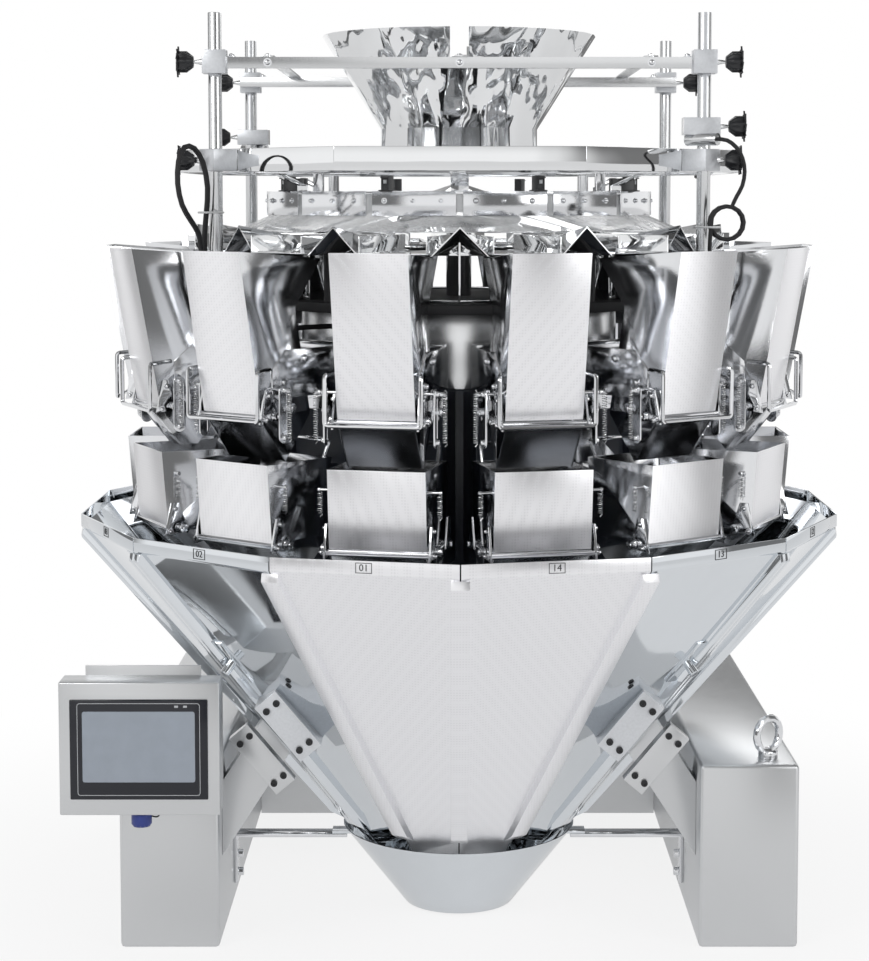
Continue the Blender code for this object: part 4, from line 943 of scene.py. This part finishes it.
def number_plate(head):
    """The framed number, standing on the lip of its panel."""
    bpy.ops.object.select_all(action="DESELECT")
    bpy.ops.object.text_add(location=(0, 0, 0))
    text = bpy.context.object.data
    text.body, text.size, text.extrude = f"{head:02d}", DIGIT_SIZE, INK_DEPTH
    text.resolution_u = 3
    text.align_x, text.align_y = "CENTER", "CENTER"
    bpy.ops.object.convert(target="MESH")
    digits = bpy.context.object
    border = sized("plane", PLATE_WIDTH, PLATE_HEIGHT)
    pick_faces(border, any_face)
    bpy.ops.mesh.inset(thickness=PLATE_LINE)
    bpy.ops.mesh.delete(type="FACE")
    bpy.ops.mesh.select_all(action="SELECT")
    pull(2 * INK_DEPTH)
    leave()
    border.data.transform(Matrix.Translation((0, 0, -INK_DEPTH)))
    plate = joined([digits, border])
    plate.data.transform(upright(head_angle(head), LIP_R, LIP_Z) @ STOOD_UP)
    return plate


plates = [number_plate(head) for head in ALL_HEADS]
settled(joined(plates), "head_numbers", INK)
print(len(plates), "numbers")

# %% [markdown]
# ## Bolts on the bars, the curtain and the chute's blocks
# A bolt is one model with a copy in each hole. The blocks lean with the chute, so their holes are
# found from the block's own front, a large upright face that looks straight along Y.

# %% Bolts on crossbars and curtain plates
BAR_MIDDLE_Y, BAR_TOP_Z, BAR_FRONT_Y = 0.2647, 1.3450, -0.2727
CURTAIN_R, CURTAIN_BOLT_Z = 0.300, 1.136
BAR_BOLTS_X = (-0.333, -0.280, 0, 0.280, 0.333)
bar_bolts = []
for way in ROWS.values():
    bar_bolts += [facing((x, way * BAR_MIDDLE_Y, BAR_TOP_Z), (0, 0, 1)) for x in BAR_BOLTS_X]
bar_bolts += [facing((x, BAR_FRONT_Y, BAR_Z), (0, -1, 0)) for x in BAR_BOLTS_X[1:-1]]
repeated("bar_bolts", BOLT, bar_bolts, BRIGHT_STEEL)
curtain_bolts = []
for angle in map(head_angle, ALL_HEADS):
    for side in (-0.0445, -0.002, 0.0405):
        place = round_axis(angle, CURTAIN_R, CURTAIN_BOLT_Z, side)
        curtain_bolts.append(facing(place, round_axis(angle, 1, 0)))
repeated("curtain_bolts", SMALL_BOLT, curtain_bolts, BRIGHT_STEEL)
print(len(bar_bolts), "and", len(curtain_bolts), "bolts")

# %% Cap screws on the docks and saddles
SMALLEST_FRONT, LARGEST_FRONT = 0.0028, 0.006  # square metres
CENTRE_GAP = 0.2  # blocks lie further from the middle than this
SCREW_ALONG, SCREW_OVER = 0.36, 0.0095  # a share of the front's length, and metres across it


def block_fronts(piece, way):
    """The fronts of the blocks on a solid: large upright faces that look straight along Y."""
    straight = [face for face in piece.data.polygons if face.normal.y * way > 0.9995]
    straight = [face for face in straight if abs(face.center.y) > CENTRE_GAP]
    return [face for face in straight if SMALLEST_FRONT < face.area < LARGEST_FRONT]


with_blocks = [(f"leg_{row}_{side}", way) for row, way in ROWS.items() for side in SIDES]
with_blocks += [(f"chute_{row}", way) for row, way in ROWS.items()]
screws = []
for name, way in with_blocks:
    piece = PIECES[name]
    for face in block_fronts(piece, way):
        corners = [piece.data.vertices[i].co for i in face.vertices]
        edges = [b - a for a, b in zip(corners, corners[1:] + corners[:1])]
        longest = max(edges, key=lambda edge: edge.length)
        along = longest.normalized()
        over = along.cross(Vector((0, way, 0)))
        for end in (-1, 1):
            for row in (-1, 1):
                spot = face.center + along * end * longest.length * SCREW_ALONG + over * row * SCREW_OVER
                screws.append(facing(spot, (0, way, 0)))
repeated("block_screws", CAP_SCREW, screws, BLACK_PLASTIC)
print(len(screws), "screws")

# %% Aluminium on the docks and saddles, and a mirror on the outer panels
SADDLE_Y = 0.2075
BLOCK_REACH, BLOCK_DEPTH = 0.075, 0.06  # from the middle of a block's front
FRONT_PANELS = HEAD_ANGLE * 1.003


def on_saddle(face):
    return abs(face.center.y) > SADDLE_Y


def on_side_panel(face):
    return abs(math.atan2(face.center.x, abs(face.center.y))) > FRONT_PANELS


def block_side(centre, way):
    """A test for the sides of the block whose front has this centre."""

    def wanted(face):
        near = (face.center - centre).length < BLOCK_REACH
        behind = way * face.center.y > way * centre.y - BLOCK_DEPTH
        return near and behind and face.area < LARGEST_FRONT and abs(face.normal.y) < 0.25

    return wanted


for row, way in ROWS.items():
    for side in SIDES:
        leg = PIECES[f"leg_{row}_{side}"]
        coat(leg, BASE_STEEL, ALUMINIUM)
        finish_faces(leg, 1, on_saddle)
    chute = PIECES[f"chute_{row}"]
    coat(chute, DIMPLED_STEEL if row == "front" else CHUTE_STEEL, ALUMINIUM, CHUTE_STEEL)
    finish_faces(chute, 2, on_side_panel)
    for front in block_fronts(chute, way):
        finish_faces(chute, 1, block_side(front.center.copy(), way))
        front.material_index = 1
print("blocks coated")

# %% [markdown]
# ## Operator panel
# The screen is glass over a pale display, in a dark bezel with a thin light line. The bezel is CAD.
# The line and display are planes that are inset and extruded, so they have real edges. Nothing is
# written on the display.

# %% Display, line and marks
DISPLAY = grained("display", (0.42, 0.47, 0.54), 0.16, 40, 0.00005)
BEZEL = grained("panel_bezel", (0.010, 0.012, 0.020), 0.14, 200, 0.00005)
LIGHT_LINE = grained("light_line", (0.62, 0.64, 0.66), 0.3, 200, 0.00005)
coat(PIECES["panel_screen"], BEZEL)
SCREEN_LOW, SCREEN_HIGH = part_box("panel_screen")
MIDDLE_X = (SCREEN_LOW[0] + SCREEN_HIGH[0]) / 2
MIDDLE_Z = (SCREEN_LOW[2] + SCREEN_HIGH[2]) / 2
FACE_Y = SCREEN_LOW[1]


def panel_slab(name, width, height, x, z, thick, finish, border=0.0):
    """A thin slab on the bezel. With a border, its middle is cut out."""
    slab = sized("plane", width, height)
    pick_faces(slab, any_face)
    bpy.ops.mesh.bevel(offset=min(width, height) * 0.03, segments=3, affect="VERTICES")
    bpy.ops.mesh.select_all(action="SELECT")
    if border:
        bpy.ops.mesh.inset(thickness=border)
        bpy.ops.mesh.delete(type="FACE")
        bpy.ops.mesh.select_all(action="SELECT")
    pull(thick)
    face_outwards()
    leave()
    slab.data.transform(Matrix.Translation((x, FACE_Y, z)) @ STOOD_UP)
    return settled(slab, name, finish)


panel_slab("display", 0.163, 0.104, MIDDLE_X, MIDDLE_Z + 0.0045, 0.0005, DISPLAY)
panel_slab("bezel_line", 0.178, 0.136, MIDDLE_X, MIDDLE_Z + 0.0008, 0.0004, LIGHT_LINE, border=0.0009)
for number, x in ((1, -0.3968), (2, -0.4097)):
    panel_slab(f"panel_mark_{number}", 0.0055, 0.0030, x, 0.4075, 0.0004, LIGHT_LINE)
print("panel dressed")

# %% The blue cap on its loop
SOCKET_X, SOCKET_Y, CAP_TOP = -0.465, -0.350, 0.2440
cap = disc(0.0150, 0.016, 24)
pick_faces(cap, is_top)
bpy.ops.mesh.inset(thickness=0.002)
pull(0.003)
leave()
bevel(cap, 0.0006)
cap.data.transform(facing((SOCKET_X, SOCKET_Y, CAP_TOP), (0, 0, -1)))
settled(cap, "socket_cap", BLUE_PLASTIC)
LOOP = [(0.012, 0.240), (0.026, 0.236), (0.026, 0.262), (0.010, 0.262)]
loop = bent_rod([Vector((SOCKET_X + x, SOCKET_Y, z)) for x, z in LOOP], 0.0024, 0.008)
settled(loop, "socket_cap_loop", BLACK_RUBBER)
print("cap placed")

# %% [markdown]
# ## Level eyes, brackets and ties under the guard ring
# Small black photo eyes with a pale display watch the product's level, and bent brackets hold the
# curtain. Both stand on the curtain ring. White ties hold the leads to the posts.

# %% A photo eye on its foot
FOOT = 0.002
RECESS = 0.0010


def photo_eye(width, depth, height):
    """A black sensor box with a recessed front and a wider foot."""
    eye = sized("cube", width, depth, height, middle=(0, 0, height / 2 + FOOT))
    pick_faces(eye, lambda face: face.normal.y < -0.9)
    bpy.ops.mesh.inset(thickness=width * 0.16)
    pull(0, y=RECESS)
    leave()
    pick_faces(eye, lambda face: face.normal.z < -0.9)
    pull(0)
    widen(1.5, 1.3)
    pull(-FOOT)
    leave()
    bevel(eye, 0.0006)
    return eye


EYE_WIDTH, EYE_DEPTH, EYE_HEIGHT = 0.012, 0.020, 0.021
PHOTO_EYE = photo_eye(EYE_WIDTH, EYE_DEPTH, EYE_HEIGHT)
EYE_DISPLAY = sized("plane", EYE_WIDTH * 0.5, EYE_HEIGHT * 0.3)
pick_faces(EYE_DISPLAY, any_face)
bpy.ops.mesh.inset(thickness=0.0006)
pull(0.0004)
leave()
EYE_DISPLAY.data.transform(Matrix.Translation((0, RECESS - EYE_DEPTH / 2, EYE_HEIGHT * 0.66)) @ STOOD_UP)
MODELS += [PHOTO_EYE, EYE_DISPLAY]
EYE_R, CURTAIN_TOP = 0.2950, 1.1498
EYE_ANGLES = (-21, 23, 62, 118, 159, 201, 242, 298)
eye_places = [upright(math.radians(degrees), EYE_R, CURTAIN_TOP) for degrees in EYE_ANGLES]
repeated("photo_eyes", PHOTO_EYE, eye_places, BLACK_PLASTIC)
repeated("photo_eye_displays", EYE_DISPLAY, eye_places, LIGHT_LINE)
print(len(eye_places), "photo eyes")

# %% Bent brackets under the guard ring
BRACKET_FOOT = (0, -0.3010, 1.128)
BRACKET_STEPS = ((0, 0.030), (-0.040, 0.016), (-0.078, 0.001))  # outwards and up


def bent_bracket(width, thick):
    """A strap that stands on a curtain plate, leans out and ends flat under the guard ring."""
    bracket = sized("plane", width, thick, middle=BRACKET_FOOT)
    pick_faces(bracket, any_face)
    for out, up in BRACKET_STEPS:
        pull(up, y=out)
    face_outwards()
    leave()
    bevel(bracket, 0.0004, segments=1, angle=0.4)
    return bracket


BRACKET = bent_bracket(0.026, 0.0020)
MODELS.append(BRACKET)
bracket_places = [Matrix.Rotation(head_angle(head) + HEAD_ANGLE / 2, 4, "Z") for head in (1, 3, 6, 8, 10, 13)]
repeated("curtain_brackets", BRACKET, bracket_places, MIRROR_STEEL)
print(len(bracket_places), "brackets")

# %% White ties round the posts and leads


def tie(name, middle, along, reach, width, steps=24):
    """A flat loop round a post and its lead."""
    along = Vector(along).normalized()
    over = Vector((-along.y, along.x, 0))
    points = []
    for i in range(steps):
        turn = 2 * math.pi * i / steps
        points.append(Vector(middle) + along * reach * math.cos(turn) + over * width * math.sin(turn))
    return settled(bent_rod(points, 0.0030, closed=True), name, WHITE_PLASTIC)


tie("tie_left", (-0.3622, -0.2915, 1.119), (-0.0123, -0.0155, 0), 0.0215, 0.0135)
tie("tie_right", (0.3600, -0.3080, 1.098), (0.006, -0.030, 0), 0.0370, 0.0135)
print("ties closed")

# %% [markdown]
# ## Rubber seals between the chute's groups
# The chute comes apart in four groups. Where two meet, a black rubber seal lies along the seam on the
# outside, so that no dust of the product gets out. It runs straight, so two points are enough.

# %% Seals along the four group seams
RIM_R, RIM_EDGE_Z, CHUTE_LOW_R, CHUTE_LOW_Z = 0.585, 0.634, 0.160, 0.120
SEAL_STANDS_OUT = 0.0085
SEAL_LOW, SEAL_HIGH = 0.160, 0.470
SEAL_ANGLE = 2 * HEAD_ANGLE


def seam_point(angle, z):
    """A point just outside the seam between two panels."""
    flat_r = CHUTE_LOW_R + (z - CHUTE_LOW_Z) * (RIM_R - CHUTE_LOW_R) / (RIM_EDGE_Z - CHUTE_LOW_Z)
    return round_axis(angle, flat_r / math.cos(HEAD_ANGLE / 2) + SEAL_STANDS_OUT, z)


seals = []
for angle in (SEAL_ANGLE, -SEAL_ANGLE, math.pi - SEAL_ANGLE, math.pi + SEAL_ANGLE):
    seals.append(bent_rod([seam_point(angle, SEAL_LOW), seam_point(angle, SEAL_HIGH)], 0.0065))
settled(joined(seals), "group_seals", BLACK_RUBBER)
print(len(seals), "seals")

# %% Take the models away
for model in MODELS:
    bpy.data.objects.remove(model)
print("models removed")

# %% [markdown]
# ## The studio
# The photo has a white studio: a seamless pale floor and soft light from all round. White comes from
# the floor and the world as the camera sees them. The lamps stay plain, so that colours stay true.

# %% Floor and backdrop
MIRRORED_FLOOR = 0.62  # how bright the floor is in reflections
floor = added("plane", size=30, location=(0, 0, -0.0005))
floor.name = "studio_floor"
floor_finish = Finish("studio_floor")
floor_finish.set(Base_Color=(0.86, 0.86, 0.87), Roughness=0.9)
matt = Signal(floor_finish, floor_finish.shader.outputs[0])
glow = floor_finish.add("ShaderNodeEmission", None, {"Color": (1, 1, 1, 1), "Strength": 1.0})
seen = floor_finish.ray("Camera") + floor_finish.ray("Glossy") * MIRRORED_FLOOR
seen = seen + floor_finish.ray("Transmission")
away = floor_finish.add("ShaderNodeVectorMath", {"operation": "LENGTH"}, {0: floor_finish.place()}, "Value")
# Painted shadow: less glow near the axis greys the floor round the machine; the matt share keeps the real
# shadow.
painted_shadow_ring = floor_finish.eased(away, 0.55, 1.6, low=0.84, high=1.0)
mixed = floor_finish.add("ShaderNodeMixShader", None, {0: seen * painted_shadow_ring, 1: matt, 2: glow})
floor_finish.tree.links.new(mixed.socket, floor_finish.tree.nodes["Material Output"].inputs["Surface"])
coat(floor, floor_finish.material)

world = bpy.context.scene.world or bpy.data.worlds.new("studio")
bpy.context.scene.world = world
world.use_nodes = True
print("floor laid")

# %% Sky, softboxes and camera


class WorldFinish(Finish):
    """The world's nodes, through the same method."""

    def __init__(self, world):
        self.tree = world.node_tree
        self.shader = self.tree.nodes["Background"]


sky = WorldFinish(world)
compass = sky.add("ShaderNodeTexCoord", output="Generated")
east, north, height = (sky.add("ShaderNodeSeparateXYZ", None, {0: compass}, axis) for axis in "XYZ")
stripes = sky.add("ShaderNodeMath", {"operation": "SINE"}, {0: north.math("ARCTAN2", east) * 5 + 0.9})
dark_flags = sky.eased(stripes, 0.1, 0.7, low=0.0, high=0.80)
ceiling = sky.eased(height, 0.10, 0.75, low=0.0, high=0.62)
camera_ray, gloss_ray, clear_ray = (sky.ray(kind) for kind in ("Camera", "Glossy", "Transmission"))
mirrored = gloss_ray * (1 - ceiling) * (1 - dark_flags)
plain_level = (1 - camera_ray - gloss_ray - clear_ray) * 0.42
sky.set(Color=(1.0, 1.0, 1.0), Strength=camera_ray + clear_ray + mirrored + plain_level)


def softbox(name, place, aim, size, power):
    bpy.ops.object.light_add(type="AREA", location=place)
    lamp = bpy.context.object
    lamp.name = name
    lamp.data.shape = "RECTANGLE"
    lamp.data.size, lamp.data.size_y = size
    lamp.data.energy = power
    lamp.rotation_euler = (Vector(aim) - Vector(place)).to_track_quat("-Z", "Y").to_euler()


softbox("key_softbox", (-2.4, -3.0, 3.0), (0, 0, 0.7), (2.0, 2.0), 46)
softbox("fill_softbox", (2.8, -2.6, 2.2), (0, 0, 0.7), (1.8, 2.2), 26)
softbox("rear_softbox", (0.5, 3.0, 2.8), (0, 0, 0.8), (2.4, 1.4), 32)

PHOTO_WIDTH, PHOTO_HEIGHT = 869, 961
AXIS_X, AXIS_Y = 450, 371  # where the camera's own axis meets the photo, in pixels
FOCAL_PIXELS = 2147
CAMERA_PLACE = (-0.014, -3.428, 1.139)
LOOKS_DOWN = 0.0801  # radians
bpy.ops.object.camera_add(location=CAMERA_PLACE, rotation=(math.pi / 2 - LOOKS_DOWN, 0, 0))
camera = bpy.context.object
camera.name = "photo_camera"
camera.data.sensor_width = 36
camera.data.lens = FOCAL_PIXELS / PHOTO_HEIGHT * camera.data.sensor_width
camera.data.shift_x = (PHOTO_WIDTH / 2 - AXIS_X) / PHOTO_HEIGHT
camera.data.shift_y = (AXIS_Y - PHOTO_HEIGHT / 2) / PHOTO_HEIGHT
bpy.context.scene.camera = camera
bpy.context.scene.view_settings.view_transform = "Standard"
print("lens", round(camera.data.lens, 1), "mm")
